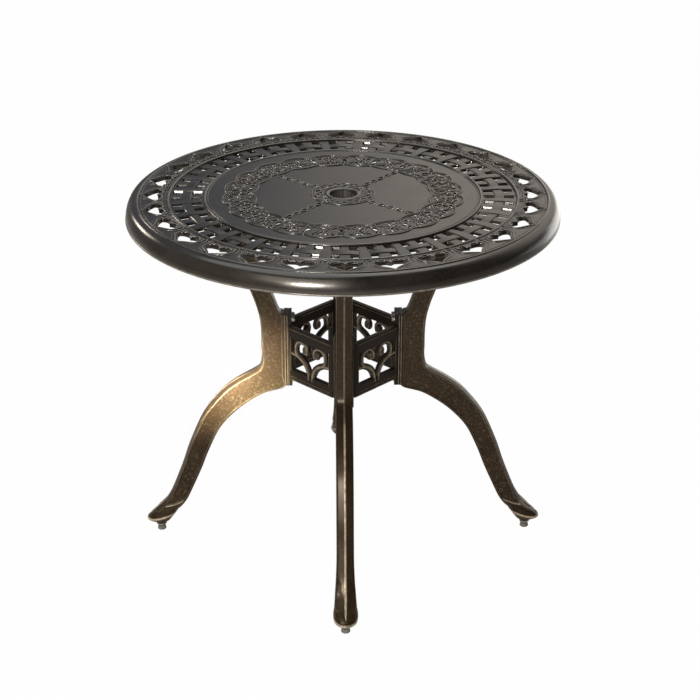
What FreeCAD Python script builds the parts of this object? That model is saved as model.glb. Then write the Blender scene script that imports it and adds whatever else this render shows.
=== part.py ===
import FreeCAD, Part
import math
import os
import re
import Sketcher

# Cast umbrella table: a pierced round top on four cabriole legs, tied by four scroll panels.
# Units are millimetres. The origin is on the floor under the umbrella hole, +Z is up,
# and the front leg points towards -Y.

Vector = FreeCAD.Vector
UP = Vector(0, 0, 1)

SIZES = (
    # The whole table
    ("top_diameter", 800, "across the rim"),
    ("table_height", 715, "floor to the crest of the beads"),
    # The cast top
    ("plate_thickness", 6, "pierced plate"),
    ("bead_height", 2, "raised beads above the plate"),
    ("rim_width", 20, "from the flat top to the widest line of the rim"),
    ("rim_drop", 34, "from the flat top to the lower edge of the rim"),
    ("rim_wall", 5, "metal of the rolled rim"),
    ("rim_shoulder", 15, "radius of the upper bend of the rim"),
    ("rim_land", 3, "upright band along the lower edge of the rim"),
    ("bead_width", 6, "foot of a raised bead"),
    ("rib_depth", 5, "stiffening rings below the plate"),
    ("rib_width", 4, "stiffening rings below the plate"),
    ("umbrella_hole", 50, "diameter of the hole for the umbrella pole"),
    ("hub_depth", 18, "umbrella sleeve, from the flat top down"),
    ("hub_wall", 8, "metal of the umbrella sleeve"),
    ("hub_bead_width", 9, "raised ring round the umbrella hole"),
    # The pierced patterns, from the outside in
    ("arch_count", 28, "keel arches round the edge"),
    ("arch_tip", 367, "radius of the points of the arches"),
    ("arch_base", 335, "radius of the feet of the arches"),
    ("arch_half_width", 27, "half of an arch opening"),
    ("lattice_bead_outer", 321, "radius of the bead outside the lattice"),
    ("lattice_bead_inner", 254, "radius of the bead inside the lattice"),
    ("lattice_columns", 56, "openings in one row of the lattice"),
    ("lattice_outer_row", 306, "middle radius of the outer row"),
    ("lattice_inner_row", 269, "middle radius of the inner row"),
    ("lattice_gap_length", 16, "opening, along the radius"),
    ("lattice_gap_width", 13, "opening, across the radius"),
    ("flower_count", 20, "flowers in the ring"),
    ("flower_radius", 190, "radius of the ring of flowers"),
    ("flower_start", 7.5, "angle of the first flower, degrees"),
    ("flower_rise", 24, "from the flower centres to the pierced leaves"),
    ("flower_eye", 6, "radius of the opening between two flowers"),
    ("leaf_gap_length", 11, "pierced leaf beside a flower"),
    ("leaf_gap_width", 5, "pierced leaf beside a flower"),
    ("leaf_gap_offset", 16.5, "pierced leaf beside the line through its flower"),
    ("leaf_gap_tilt", 24, "pierced leaf against the ring, degrees"),
    ("chain_start", 50, "angle of the first chain arm, degrees"),
    ("chain_inner", 70, "radius of the first link"),
    ("chain_links", 5, "links in one arm"),
    ("chain_pitch", 20.5, "link to link"),
    ("chain_gap_length", 12, "opening of a link"),
    ("chain_gap_width", 4.5, "opening of a link"),
    ("twist_radius", 51.5, "radius of the long openings round the hub"),
    ("twist_gap_length", 17, "long opening round the hub"),
    ("twist_eye_radius", 43.5, "radius of the small eyes round the hub"),
    ("twist_eye", 2.5, "radius of a small eye"),
    ("twist_start", 6, "angle of the first eye, degrees"),
    ("twist_count", 8, "eyes round the hub"),
    # The legs
    ("leg_thickness", 31, "across a leg"),
    ("leg_recess", 3, "depth of the hammered field"),
    ("leg_border", 5, "raised edge round the hammered field"),
    ("post_radius", 112, "inner face of a leg beside the panels"),
    ("post_depth", 45, "radial depth of a leg beside the panels"),
    ("shoulder_height", 322, "lower end of the upright part of a leg"),
    ("post_height", 155, "upright part of a leg"),
    ("lug_length", 8, "step from the top of the upright part to the upper run"),
    ("cove_height", 62, "upper end of the cove in the outer edge, above the shoulder"),
    ("cove_level", 41, "middle of the cove above the shoulder"),
    ("waist_height", 112, "straightest place of the outer edge, above the shoulder"),
    ("foot_radius", 366, "table axis to the levelling foot"),
    ("foot_height", 15, "floor to the underside of the cast foot"),
    ("foot_width", 45, "widest part of the cast foot"),
    ("foot_swell", 110, "height over which a leg widens to its foot"),
    ("foot_cheek", 25, "widest line of the foot above the sole"),
    ("toe_length", 29, "levelling foot to the tip of the toe"),
    ("toe_height", 17, "tip of the toe above the sole"),
    ("heel_length", 14, "levelling foot to the heel"),
    # Fixing of the legs to the top
    ("fix_radius", 238, "table axis to the upper bolts"),
    ("bolt_room", 1.5, "from a washer to the leg beside it"),
    ("boss_height", 10, "bosses below the plate, tapped right through"),
    ("boss_diameter", 16, "bosses below the plate"),
    ("flange_thickness", 6, "pad at the top of a leg"),
    ("flange_length", 44, "pad at the top of a leg, along the radius"),
    ("flange_edge", 4, "pad at the top of a leg, outside its washers"),
    # The scroll panels
    ("panel_reach", 120, "leg line to leg line, measured on the axes"),
    ("panel_level", 400.5, "middle height of a panel"),
    ("panel_height", 111, "a panel, top to bottom"),
    ("panel_thickness", 10, "frame of a panel"),
    ("panel_rail", 23, "upper and lower rail"),
    ("panel_window", 99, "between the stiles"),
    ("scroll_width", 10, "bar of the curls"),
    ("scroll_stem", 14, "bar of the quarter arches"),
    ("scroll_eye", 19, "round eye of a curl"),
    ("scroll_thickness", 8, "scrolls, through the panel"),
    ("ear_thickness", 6, "bolted ear of a panel"),
    ("ear_width", 17, "bolted ear of a panel"),
    ("ear_gap", 1, "half of the gap between two ears"),
    ("seat_depth", 8, "bolting strip on the inner face of a leg"),
    ("seat_height", 149, "bolting strip and ears, top to bottom"),
    ("seat_level", 402.5, "middle height of the bolting strip and ears"),
    ("panel_bolt_spread", 126, "upper to lower bolt of an ear"),
    ("thread_boss", 11, "diameter of the thread bosses in a leg"),
    ("thread_depth", 16, "tapped holes for the panel bolts"),
    # Bolts and washers
    ("bolt_diameter", 6, "shank"),
    ("bolt_clearance", 0.6, "bolt holes over the shank"),
    ("thread_clearance", 0.1, "threaded holes over the shank"),
    ("bolt_head_across", 10, "hexagon, flat to flat"),
    ("bolt_head_height", 4, "hexagon"),
    ("washer_diameter", 12, "washer"),
    ("washer_thickness", 1.6, "washer"),
    ("panel_bolt_length", 20, "below the head"),
    ("top_bolt_length", 16, "below the head"),
    # Levelling feet
    ("stud_diameter", 8, "threaded stud"),
    ("stud_clearance", 0.1, "insert bore over the stud"),
    ("stud_tip", 35, "floor to the upper end of the stud"),
    ("stud_point", 1, "bevel at the upper end of the stud"),
    ("insert_diameter", 12, "pressed barrel of the insert"),
    ("insert_clearance", 0.1, "hole in the cast foot over the barrel"),
    ("insert_length", 22, "pressed barrel of the insert"),
    ("insert_collar", 20, "diameter of the collar of the insert"),
    ("collar_thickness", 2.5, "collar of the insert"),
    ("nut_across", 13, "hexagon on the stud"),
    ("nut_height", 3.2, "hexagon on the stud"),
    ("nut_gap", 0.4, "hexagon to the collar of the insert"),
    ("pad_diameter", 17, "plastic pad on the floor"),
    ("pad_height", 8, "plastic pad"),
    ("pad_bevel", 1, "bevel of the pad at the floor"),
    ("pad_taper", 1.2, "how much narrower the pad is at its top, on each side"),
    ("disc_diameter", 10, "foot of the stud, held in the pad"),
    ("disc_height", 2.5, "foot of the stud"),
    ("neck_diameter", 6, "neck of the stud, through the lip of the pad"),
    ("pad_floor", 3, "plastic below the foot of the stud"),
    ("socket_clearance", 0.1, "pad round the foot and neck of the stud"),
)

LEGS = (("right", 0), ("back", 90), ("left", 180), ("front", 270))
PANELS = (("back_right", 45), ("back_left", 135), ("front_left", 225), ("front_right", 315))

document = FreeCAD.newDocument("umbrella_table")
sheet = document.addObject("Spreadsheet::Sheet", "Sizes")
for row, (name, number, meaning) in enumerate(SIZES, start=1):
    sheet.set(f"A{row}", str(number))
    sheet.setAlias(f"A{row}", name)
    sheet.set(f"B{row}", meaning)
document.recompute()


def size(name):
    return float(sheet.get(name))


def cell(words):
    """An expression in which every alias of the sheet names its cell."""
    aliases = {name for name, _, _ in SIZES}
    return re.sub("[a-z_]+", lambda word: f"Sizes.{word[0]}" if word[0] in aliases else word[0], words)


def bind(feature, **expressions):
    """Ties properties of a feature to the sheet."""
    for prop, words in expressions.items():
        feature.setExpression(prop, cell(words))


def polar(radius, degrees):
    angle = math.radians(degrees)
    return radius * math.cos(angle), radius * math.sin(angle)


# Heights and radii that several pieces share

plate_top = size("table_height") - size("bead_height")
plate_under = plate_top - size("plate_thickness")
flange_top = plate_under - size("boss_height")
flange_under = flange_top - size("flange_thickness")
seat_face = size("post_radius") - size("seat_depth")
seat_low = size("seat_level") - size("seat_height") / 2
fix_offset = (size("leg_thickness") + size("washer_diameter")) / 2 + size("bolt_room")
flange_half = fix_offset + size("washer_diameter") / 2 + size("flange_edge")
ear_middle = size("ear_gap") + size("ear_width") / 2
diagonal = math.sqrt(0.5)


# Helpers for bodies, sketches and features


def new_body(label):
    body = document.addObject("PartDesign::Body", label)
    body.Label = label
    return body


def datum(body, role):
    for feature in body.Origin.OriginFeatures:
        if feature.Role == role:
            return feature
    raise ValueError(role)


def new_sketch(body, name, role, offset=0.0):
    sketch = body.newObject("Sketcher::SketchObject", name)
    sketch.AttachmentSupport = [(datum(body, role), "")]
    sketch.MapMode = "FlatFace"
    sketch.AttachmentOffset = FreeCAD.Placement(Vector(0, 0, offset), FreeCAD.Rotation())
    return sketch


def outline(sketch, *curves):
    """Adds curves, given in the plane of the sketch."""
    sketch.addGeometry(list(curves), False)


def add_circle(sketch, x, y, radius):
    """A circle whose radius is an expression of the sheet."""
    index = sketch.addGeometry(Part.Circle(Vector(x, y, 0), UP, 1.0), False)
    constraint = sketch.addConstraint(Sketcher.Constraint("Radius", index, 1.0))
    sketch.setExpression(f"Constraints[{constraint}]", cell(radius))


def line(start, end):
    return Part.LineSegment(Vector(*start, 0), Vector(*end, 0))


def closed(points):
    """Straight edges round a closed run of points."""
    points = list(points)
    return [line(start, end) for start, end in zip(points, points[1:] + points[:1])]


def arc(start, middle, end):
    return Part.Arc(Vector(*start, 0), Vector(*middle, 0), Vector(*end, 0))


def round_arc(x, y, radius, first, last):
    circle = Part.Circle(Vector(x, y, 0), UP, radius)
    return Part.ArcOfCircle(circle, math.radians(first), math.radians(last))


def smooth(points):
    curve = Part.BSplineCurve()
    curve.interpolate([Vector(x, y, 0) for x, y in points])
    return curve


def slot(x, y, length, width, degrees):
    """Closed outline of a slot about (x, y), lying along an angle."""
    reach = (length - width) / 2
    along = Vector(*polar(1, degrees), 0)
    across = Vector(*polar(1, degrees + 90), 0)
    middle = Vector(x, y, 0)
    half = width / 2
    right = middle + along * reach
    left = middle - along * reach
    return (
        Part.LineSegment(left - across * half, right - across * half),
        Part.Arc(right - across * half, right + along * half, right + across * half),
        Part.LineSegment(right + across * half, left + across * half),
        Part.Arc(left + across * half, left - along * half, left - across * half),
    )


def pad(body, sketch, length, both_ways=False):
    feature = body.newObject("PartDesign::Pad", f"{sketch.Label}_pad")
    feature.Profile = sketch
    bind(feature, Length=length)
    feature.Midplane = both_ways
    return feature


def pocket(body, sketch, length, outwards=False):
    feature = body.newObject("PartDesign::Pocket", f"{sketch.Label}_cut")
    feature.Profile = sketch
    bind(feature, Length=length)
    feature.Reversed = outwards
    return feature


def through(body, sketch):
    feature = body.newObject("PartDesign::Pocket", f"{sketch.Label}_cut")
    feature.Profile = sketch
    feature.Type = "ThroughAll"
    feature.Midplane = True
    return feature


def revolve(body, sketch):
    feature = body.newObject("PartDesign::Revolution", f"{sketch.Label}_turned")
    feature.Profile = sketch
    feature.ReferenceAxis = (datum(body, "Z_Axis"), [""])
    feature.Angle = 360
    return feature


def turned(body, name, points):
    """A turned solid from a closed run of (radius, height) points."""
    sketch = new_sketch(body, name, "XZ_Plane")
    outline(sketch, *closed(points))
    return revolve(body, sketch)


def cylinder(body, name, kind, place, radius, height):
    """A cylinder added to a body or taken from it, standing on a placement."""
    feature = body.newObject(f"PartDesign::{kind}Cylinder", name)
    feature.Placement = place
    bind(feature, Radius=radius, Height=height)
    return feature


def block(body, name, corner, length, width, height):
    feature = body.newObject("PartDesign::AdditiveBox", name)
    feature.Placement = FreeCAD.Placement(Vector(*corner), FreeCAD.Rotation())
    bind(feature, Length=length, Width=width, Height=height)
    return feature


def standing(x, y, z):
    return FreeCAD.Placement(Vector(x, y, z), FreeCAD.Rotation())


def lying(x, y, z, degrees=0.0):
    """A placement whose own +Z points along an angle in the floor plane."""
    turn = FreeCAD.Rotation(UP, degrees) * FreeCAD.Rotation(Vector(0, 1, 0), 90)
    return FreeCAD.Placement(Vector(x, y, z), turn)


def spun(degrees):
    return FreeCAD.Placement(Vector(), FreeCAD.Rotation(UP, degrees))


# The cast top


def turned_about_axis(curves, degrees):
    """Copies of curves, turned round the middle of the top."""
    copies = []
    for curve in curves:
        copy = curve.copy()
        copy.rotate(spun(degrees))
        copies.append(copy)
    return copies


def all_round(curves, count):
    """Curves repeated at even steps round the middle of the top."""
    everything = []
    for step in range(round(count)):
        everything += turned_about_axis(curves, step * 360 / count)
    return everything


def bead(radius, width):
    """Section of a raised bead on the plate."""
    half = width / 2
    crest = plate_top + size("bead_height")
    inner = (radius - half, plate_top)
    outer = (radius + half, plate_top)
    return [line(inner, outer), arc(inner, (radius, crest), outer)]


def rib(radius):
    """Section of a stiffening ring below the plate."""
    low = plate_under - size("rib_depth")
    inner = radius - size("rib_width") / 2
    outer = radius + size("rib_width") / 2
    return closed([(inner, low), (outer, low), (outer, plate_under), (inner, plate_under)])


def rim_bend(start_height, wide, high, shoulder):
    """Two arcs that turn from level to upright, the second one wider than the first."""
    flat = size("top_diameter") / 2 - size("rim_width")
    foot = start_height - high
    flank = (wide**2 + (high - shoulder) ** 2 - shoulder**2) / (2 * (wide - shoulder))
    centre_x = flat + wide - flank
    centre_y = start_height - shoulder
    lean = math.degrees(math.atan2(centre_y - foot, flat - centre_x))
    upper = round_arc(flat, centre_y, shoulder, lean, 90)
    lower = round_arc(centre_x, foot, flank, 0, lean)
    return [upper, lower]


def rim_section():
    """Rolled rim: two bent skins, with an upright band along the lower edge."""
    outer = size("top_diameter") / 2
    flat = outer - size("rim_width")
    wall = size("rim_wall")
    low = plate_top - size("rim_drop")
    land = low + size("rim_land")
    shoulder = size("rim_shoulder")
    outside = rim_bend(plate_top, outer - flat, plate_top - land, shoulder)
    inside = rim_bend(plate_under, outer - flat - wall, plate_under - land, shoulder - wall)
    band = [(outer, land), (outer, low), (outer - wall, low), (outer - wall, land)]
    edges = [line(start, end) for start, end in zip(band, band[1:])]
    return outside + inside + edges + [line((flat, plate_under), (flat, plate_top))]


def ring_sections(body):
    """What is turned with the plate: rim, beads, ribs and the sleeve of the umbrella hole."""
    flat = size("top_diameter") / 2 - size("rim_width")
    bore = size("umbrella_hole") / 2
    sleeve = bore + size("hub_wall")
    sleeve_low = plate_top - size("hub_depth")
    hub_bead = bore + size("hub_bead_width") / 2 + size("bead_height")
    sketch = new_sketch(body, "ring_sections", "XZ_Plane")
    outline(sketch, *rim_section())
    outline(sketch, *bead(flat - size("bead_width") / 2, size("bead_width")))
    outline(sketch, *bead(hub_bead, size("hub_bead_width")))
    for radius in (size("lattice_bead_outer"), size("lattice_bead_inner")):
        outline(sketch, *bead(radius, size("bead_width")))
        outline(sketch, *rib(radius))
    sleeve_section = [(bore, sleeve_low), (sleeve, sleeve_low), (sleeve, plate_under), (bore, plate_under)]
    outline(sketch, *closed(sleeve_section))
    return revolve(body, sketch)


def fixing_bosses(body):
    """Two tapped bosses over each leg."""
    sketch = new_sketch(body, "fixing_bosses", "XY_Plane", flange_top)
    for step in range(4):
        for side in (1, -1):
            centre = spun(90 * step).multVec(Vector(size("fix_radius"), side * fix_offset, 0))
            add_circle(sketch, centre.x, centre.y, "boss_diameter / 2")
            add_circle(sketch, centre.x, centre.y, "(bolt_diameter + thread_clearance) / 2")
    pad(body, sketch, "boss_height")


def arch_gap():
    """Keel arch with a leaf rising from its base, at the front of the top."""
    tip = size("arch_tip")
    base = size("arch_base")
    half = size("arch_half_width")
    rise = tip - base
    shoulder = (0.52 * half, -(tip - 0.40 * rise))
    haunch = (half, -(base + 0.22 * rise))
    foot = (0.72 * half, -base)
    leaf_foot = (0.30 * half, -(base + 0.05 * rise))
    leaf_tip = (0.0, -(base + 0.16 * rise))
    point = (0.0, -tip)
    hollow = (0.20 * half, -(tip - 0.20 * rise))
    swell = (0.86 * half, -(tip - 0.62 * rise))
    heel = (0.96 * half, -(base + 0.04 * rise))
    corners = (point, hollow, shoulder, swell, haunch, heel, foot, leaf_foot, leaf_tip)
    curves = []
    for side in (1, -1):
        run = [(side * x, y) for x, y in corners]
        curves.append(arc(run[0], run[1], run[2]))
        curves.append(arc(run[2], run[3], run[4]))
        curves.append(arc(run[4], run[5], run[6]))
        curves.append(line(run[6], run[7]))
        curves.append(line(run[7], run[8]))
    return curves


def box_gap(radius, degrees, length, width):
    """Rectangle about a point of the top, its length along the radius."""
    low = radius - length / 2
    high = radius + length / 2
    half = width / 2
    corners = closed([(low, -half), (high, -half), (high, half), (low, half)])
    return turned_about_axis(corners, degrees)


def lattice_gaps():
    """The two openings of one column of the lattice."""
    length = size("lattice_gap_length")
    width = size("lattice_gap_width")
    degrees = 270 + 180 / size("lattice_columns")
    outer = box_gap(size("lattice_outer_row"), degrees, length, width)
    return outer + box_gap(size("lattice_inner_row"), degrees, length, width)


def flower_gaps():
    """The openings of one flower: four leaves about it, and the eye before the next flower."""
    curves = []
    for side in (1, -1):
        for ring in (1, -1):
            radius = size("flower_radius") + ring * size("flower_rise")
            degrees = size("flower_start") + side * math.degrees(size("leaf_gap_offset") / radius)
            x, y = polar(radius, degrees)
            tilt = degrees + 90 - side * ring * size("leaf_gap_tilt")
            curves += slot(x, y, size("leaf_gap_length"), size("leaf_gap_width"), tilt)
    x, y = polar(size("flower_radius"), size("flower_start") + 180 / size("flower_count"))
    curves.append(Part.Circle(Vector(x, y, 0), UP, size("flower_eye")))
    return curves


def chain_gaps():
    """The links of one arm between two plain fields of the centre."""
    curves = []
    degrees = size("chain_start")
    for link in range(round(size("chain_links"))):
        x, y = polar(size("chain_inner") + link * size("chain_pitch"), degrees)
        curves += slot(x, y, size("chain_gap_length"), size("chain_gap_width"), degrees)
    return curves


def twist_gaps():
    """One eye and one long opening of the twisted ring round the hub."""
    x, y = polar(size("twist_eye_radius"), size("twist_start"))
    curves = [Part.Circle(Vector(x, y, 0), UP, size("twist_eye"))]
    degrees = size("twist_start") + 180 / size("twist_count")
    x, y = polar(size("twist_radius"), degrees)
    curves += slot(x, y, size("twist_gap_length"), size("chain_gap_width"), degrees + 90)
    return curves


def pierced_plate(body):
    """The flat of the top with every opening in it."""
    sketch = new_sketch(body, "pierced_plate", "XY_Plane", plate_under)
    add_circle(sketch, 0, 0, "top_diameter / 2 - rim_width")
    add_circle(sketch, 0, 0, "umbrella_hole / 2")
    outline(sketch, *all_round(arch_gap(), size("arch_count")))
    outline(sketch, *all_round(lattice_gaps(), size("lattice_columns")))
    outline(sketch, *all_round(flower_gaps(), size("flower_count")))
    outline(sketch, *all_round(chain_gaps(), 4))
    outline(sketch, *all_round(twist_gaps(), size("twist_count")))
    pad(body, sketch, "plate_thickness")


def make_tabletop():
    body = new_body("tabletop")
    body.AllowCompound = True
    pierced_plate(body)
    ring_sections(body)
    fixing_bosses(body)
    return body


# The legs, drawn with their foot towards +X and then turned into place


def lower_point(out, up):
    """A point between the post (0) and the foot (1) in radius, and from foot (0) to shoulder (1)."""
    radius = size("post_radius") + out * (size("foot_radius") - size("post_radius"))
    height = size("foot_height") + up * (size("shoulder_height") - size("foot_height"))
    return radius, height


def upper_point(out, up):
    """A point between the post (0) and the bolting pad (1), from the end of the post up."""
    base = size("shoulder_height") + size("post_height")
    radius = size("post_radius") + out * (size("fix_radius") - size("post_radius"))
    return radius, base + up * (flange_under - base)


def leg_curves():
    """The side view of a leg as named runs, going round from the top of the outer edge."""
    post_out = size("post_radius") + size("post_depth")
    shoulder = size("shoulder_height")
    post_top = shoulder + size("post_height")
    cove_top = (post_out, shoulder + size("cove_height"))
    cove_end = lower_point(0.252, 1.100)
    cove_mid = (post_out + 0.1 * size("post_depth"), shoulder + size("cove_level"))
    toe_top = lower_point(1.060, 0.100)
    toe_tip = (size("foot_radius") + size("toe_length"), size("foot_height") + size("toe_height"))
    toe_low = (size("foot_radius") + 0.6 * size("toe_length"), size("foot_height"))
    heel = (size("foot_radius") - size("heel_length"), size("foot_height"))
    lug = (size("post_radius") + size("lug_length"), post_top)
    outer_up = [upper_point(1.15, 1), upper_point(0.66, 0.42), upper_point(0.43, 0.08)]
    outer_up += [(post_out, shoulder + size("waist_height")), cove_top]
    outer_low = [cove_end, lower_point(0.456, 0.990), lower_point(0.648, 0.790)]
    outer_low += [lower_point(0.748, 0.600), lower_point(0.858, 0.345), lower_point(0.950, 0.185), toe_top]
    inner_low = [heel, lower_point(0.830, 0.150), lower_point(0.705, 0.370), lower_point(0.590, 0.600)]
    inner_low += [lower_point(0.430, 0.795), lower_point(0.200, 0.945), (size("post_radius"), shoulder)]
    inner_up = [lug, upper_point(0.17, 0.17), upper_point(0.40, 0.55), upper_point(0.86, 1)]
    return {
        "outer_up": outer_up,
        "cove": [cove_top, cove_mid, cove_end],
        "outer_low": outer_low,
        "toe": [toe_top, toe_tip, toe_low],
        "inner_low": inner_low,
        "lug": lug,
        "post_top": (size("post_radius"), post_top),
        "inner_up": inner_up,
    }


def leg_outline():
    runs = leg_curves()
    return (
        smooth(runs["outer_up"]),
        arc(*runs["cove"]),
        smooth(runs["outer_low"]),
        arc(*runs["toe"]),
        line(runs["toe"][-1], runs["inner_low"][0]),
        smooth(runs["inner_low"]),
        line(runs["inner_low"][-1], runs["post_top"]),
        line(runs["post_top"], runs["lug"]),
        smooth(runs["inner_up"]),
        line(runs["inner_up"][-1], runs["outer_up"][0]),
    )


def inset(points, distance, first=0.0, last=1.0, steps=9):
    """Points beside a smooth run, moved off it by a distance to the left of its course."""
    curve = smooth(points)
    low = curve.FirstParameter
    whole = curve.LastParameter - low
    moved = []
    for step in range(steps):
        share = first + (last - first) * step / (steps - 1)
        parameter = low + share * whole
        place = curve.value(parameter)
        course = curve.tangent(parameter)[0]
        moved.append((place.x - distance * course.y, place.y + distance * course.x))
    return moved


def recess_outline():
    """Edge of the hammered field: the side view of a leg drawn in by the width of the border."""
    runs = leg_curves()
    border = size("leg_border")
    outer_up = inset(runs["outer_up"], -border, first=0.14)
    outer_low = inset(runs["outer_low"], -border, last=0.84)
    inner_low = inset(runs["inner_low"], -border, first=0.16, last=0.96)
    inner_up = inset(runs["inner_up"], -border, first=0.06, last=0.88)
    corner_low = (size("post_radius") + border, inner_low[-1][1])
    corner_high = (size("post_radius") + border, inner_up[0][1] - border)
    cove = (outer_low[0][0] - 0.85 * (outer_low[0][0] - outer_up[-1][0]), outer_low[0][1] + border)
    return (
        smooth(outer_up),
        arc(outer_up[-1], cove, outer_low[0]),
        smooth(outer_low),
        line(outer_low[-1], inner_low[0]),
        smooth(inner_low),
        line(inner_low[-1], corner_low),
        line(corner_low, corner_high),
        line(corner_high, inner_up[0]),
        smooth(inner_up),
        line(inner_up[-1], outer_up[0]),
    )


def slim_outline(side):
    """What is taken from one side of a leg above its spoon-shaped foot, seen from the toe."""
    half = side * size("leg_thickness") / 2
    foot = side * size("foot_width") / 2
    sole = 0.70 * foot
    low = size("foot_height")
    swell = low + size("foot_swell")
    cheek = low + size("foot_cheek")
    tall = size("table_height")
    beyond = 2 * foot
    flank = (half + 0.18 * (foot - half), low + 0.64 * size("foot_swell"))
    under = (0.93 * foot, low + 0.32 * size("foot_cheek"))
    widening = smooth([(half, swell), flank, (foot, cheek)])
    rounding = arc((foot, cheek), under, (sole, low))
    rest = [(sole, low), (sole, -low), (beyond, -low), (beyond, tall), (half, tall), (half, swell)]
    straight = [line(start, end) for start, end in zip(rest, rest[1:])]
    return [widening, rounding] + straight


def leg_fields(body):
    """The sunk hammered field on both sides of a leg."""
    depth = size("leg_thickness") / 2 - size("leg_recess")
    for name, side in (("field_right", 1), ("field_left", -1)):
        sketch = new_sketch(body, name, "XZ_Plane", side * depth)
        outline(sketch, *recess_outline())
        pocket(body, sketch, "foot_width", outwards=side > 0)


def leg_seat(body):
    """Strip that the panel ears are bolted to, with its thread bosses and tapped holes."""
    half = size("ear_gap") + size("ear_width")
    width = "2 * (ear_gap + ear_width)"
    block(body, "seat", (seat_face, -half, seat_low), "seat_depth", width, "seat_height")
    for level, height in (("low", -1), ("high", 1)):
        for hand, side in (("left", 1), ("right", -1)):
            z = seat_low + size("seat_height") / 2 + height * size("panel_bolt_spread") / 2
            place = lying(seat_face, side * ear_middle, z)
            boss = f"thread_boss_{level}_{hand}"
            cylinder(body, boss, "Additive", place, "thread_boss / 2", "thread_depth + leg_recess")
            hole = f"thread_{level}_{hand}"
            radius = "(bolt_diameter + thread_clearance) / 2"
            cylinder(body, hole, "Subtractive", place, radius, "thread_depth")


def leg_pad(body):
    """Pad that is bolted to the bosses of the top."""
    corner = (size("fix_radius") - size("flange_length") / 2, -flange_half, flange_under)
    width = "leg_thickness + 2 * (washer_diameter + bolt_room + flange_edge)"
    block(body, "top_pad", corner, "flange_length", width, "flange_thickness")
    radius = "(bolt_diameter + bolt_clearance) / 2"
    for hand, side in (("left", 1), ("right", -1)):
        place = standing(size("fix_radius"), side * fix_offset, flange_under)
        cylinder(body, f"top_hole_{hand}", "Subtractive", place, radius, "flange_thickness")


def leg_socket(body):
    """Hole in the sole for the pressed insert of the levelling foot."""
    place = standing(size("foot_radius"), 0, size("foot_height"))
    radius = "(insert_diameter + insert_clearance) / 2"
    cylinder(body, "insert_hole", "Subtractive", place, radius, "insert_length + nut_gap")


def make_leg():
    body = new_body("leg")
    side_view = new_sketch(body, "side_view", "XZ_Plane")
    outline(side_view, *leg_outline())
    pad(body, side_view, "foot_width", both_ways=True)
    for hand, side in (("left", 1), ("right", -1)):
        slim = new_sketch(body, f"slim_{hand}", "YZ_Plane")
        outline(slim, *slim_outline(side))
        through(body, slim)
    leg_fields(body)
    leg_seat(body)
    leg_pad(body)
    leg_socket(body)
    return body


# The scroll panels, drawn facing +Y and then turned into place


def on_leg_line(side, radius, across):
    """Point given along and beside the leg line at one end of a panel."""
    along = Vector(side * diagonal, diagonal, 0)
    beside = Vector(-side * diagonal, diagonal, 0)
    point = along * radius + beside * across
    return point.x, point.y


def panel_frame(body):
    """Rails and stiles, cut off square to the leg lines."""
    plane = size("panel_reach") * diagonal
    low = size("panel_level") - size("panel_height") / 2
    high = low + size("panel_height")
    reach = plane
    rail = size("panel_rail")
    window = size("panel_window") / 2
    sketch = new_sketch(body, "frame", "XZ_Plane", -plane)
    outline(sketch, *closed([(-reach, low), (reach, low), (reach, high), (-reach, high)]))
    inner = [(-window, low + rail), (window, low + rail), (window, high - rail), (-window, high - rail)]
    outline(sketch, *closed(inner))
    pad(body, sketch, "panel_thickness", both_ways=True)
    ends = new_sketch(body, "ends", "XY_Plane", size("panel_level"))
    far = 2 * size("post_radius")
    for side in (1, -1):
        corners = ((seat_face, -far), (far, -far), (far, far), (seat_face, far))
        outline(ends, *closed([on_leg_line(side, *corner) for corner in corners]))
    through(body, ends)


def panel_ears(body):
    """Bolted ears against the strips of the two legs."""
    gap = size("ear_gap")
    wide = gap + size("ear_width")
    sketch = new_sketch(body, "ears", "XY_Plane", seat_low)
    for side in (1, -1):
        corners = ((seat_face - size("ear_thickness"), gap), (seat_face, gap))
        corners += ((seat_face, wide), (seat_face - size("ear_thickness"), wide))
        outline(sketch, *closed([on_leg_line(side, *corner) for corner in corners]))
    pad(body, sketch, "seat_height")
    middle = seat_low + size("seat_height") / 2
    for hand, side in (("right", 1), ("left", -1)):
        for level, height in (("low", -1), ("high", 1)):
            start = seat_face - size("ear_thickness")
            x, y = on_leg_line(side, start, ear_middle)
            z = middle + height * size("panel_bolt_spread") / 2
            place = lying(x, y, z, 90 - side * 45)
            radius = "(bolt_diameter + bolt_clearance) / 2"
            cylinder(body, f"ear_hole_{level}_{hand}", "Subtractive", place, radius, "ear_thickness")


def band(x, y, radius, first, last, width):
    """Closed outline of a bar that follows an arc turning left, with a round far end."""
    half = width / 2
    inside = polar(radius - half, first)
    outside = polar(radius + half, first)
    end = polar(radius, last)
    return [
        round_arc(x, y, radius + half, first, last),
        round_arc(x, y, radius - half, first, last),
        line((x + inside[0], y + inside[1]), (x + outside[0], y + outside[1])),
        round_arc(x + end[0], y + end[1], half, last, last + 180),
    ]


def both_halves(body, name, sketch):
    """A bar of the scrolls, mirrored to the other half of the window."""
    feature = pad(body, sketch, "scroll_thickness", both_ways=True)
    mirror = body.newObject("PartDesign::Mirrored", f"{name}_mirrored")
    mirror.Originals = [feature]
    mirror.MirrorPlane = (datum(body, "YZ_Plane"), [""])
    body.Tip = mirror


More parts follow.
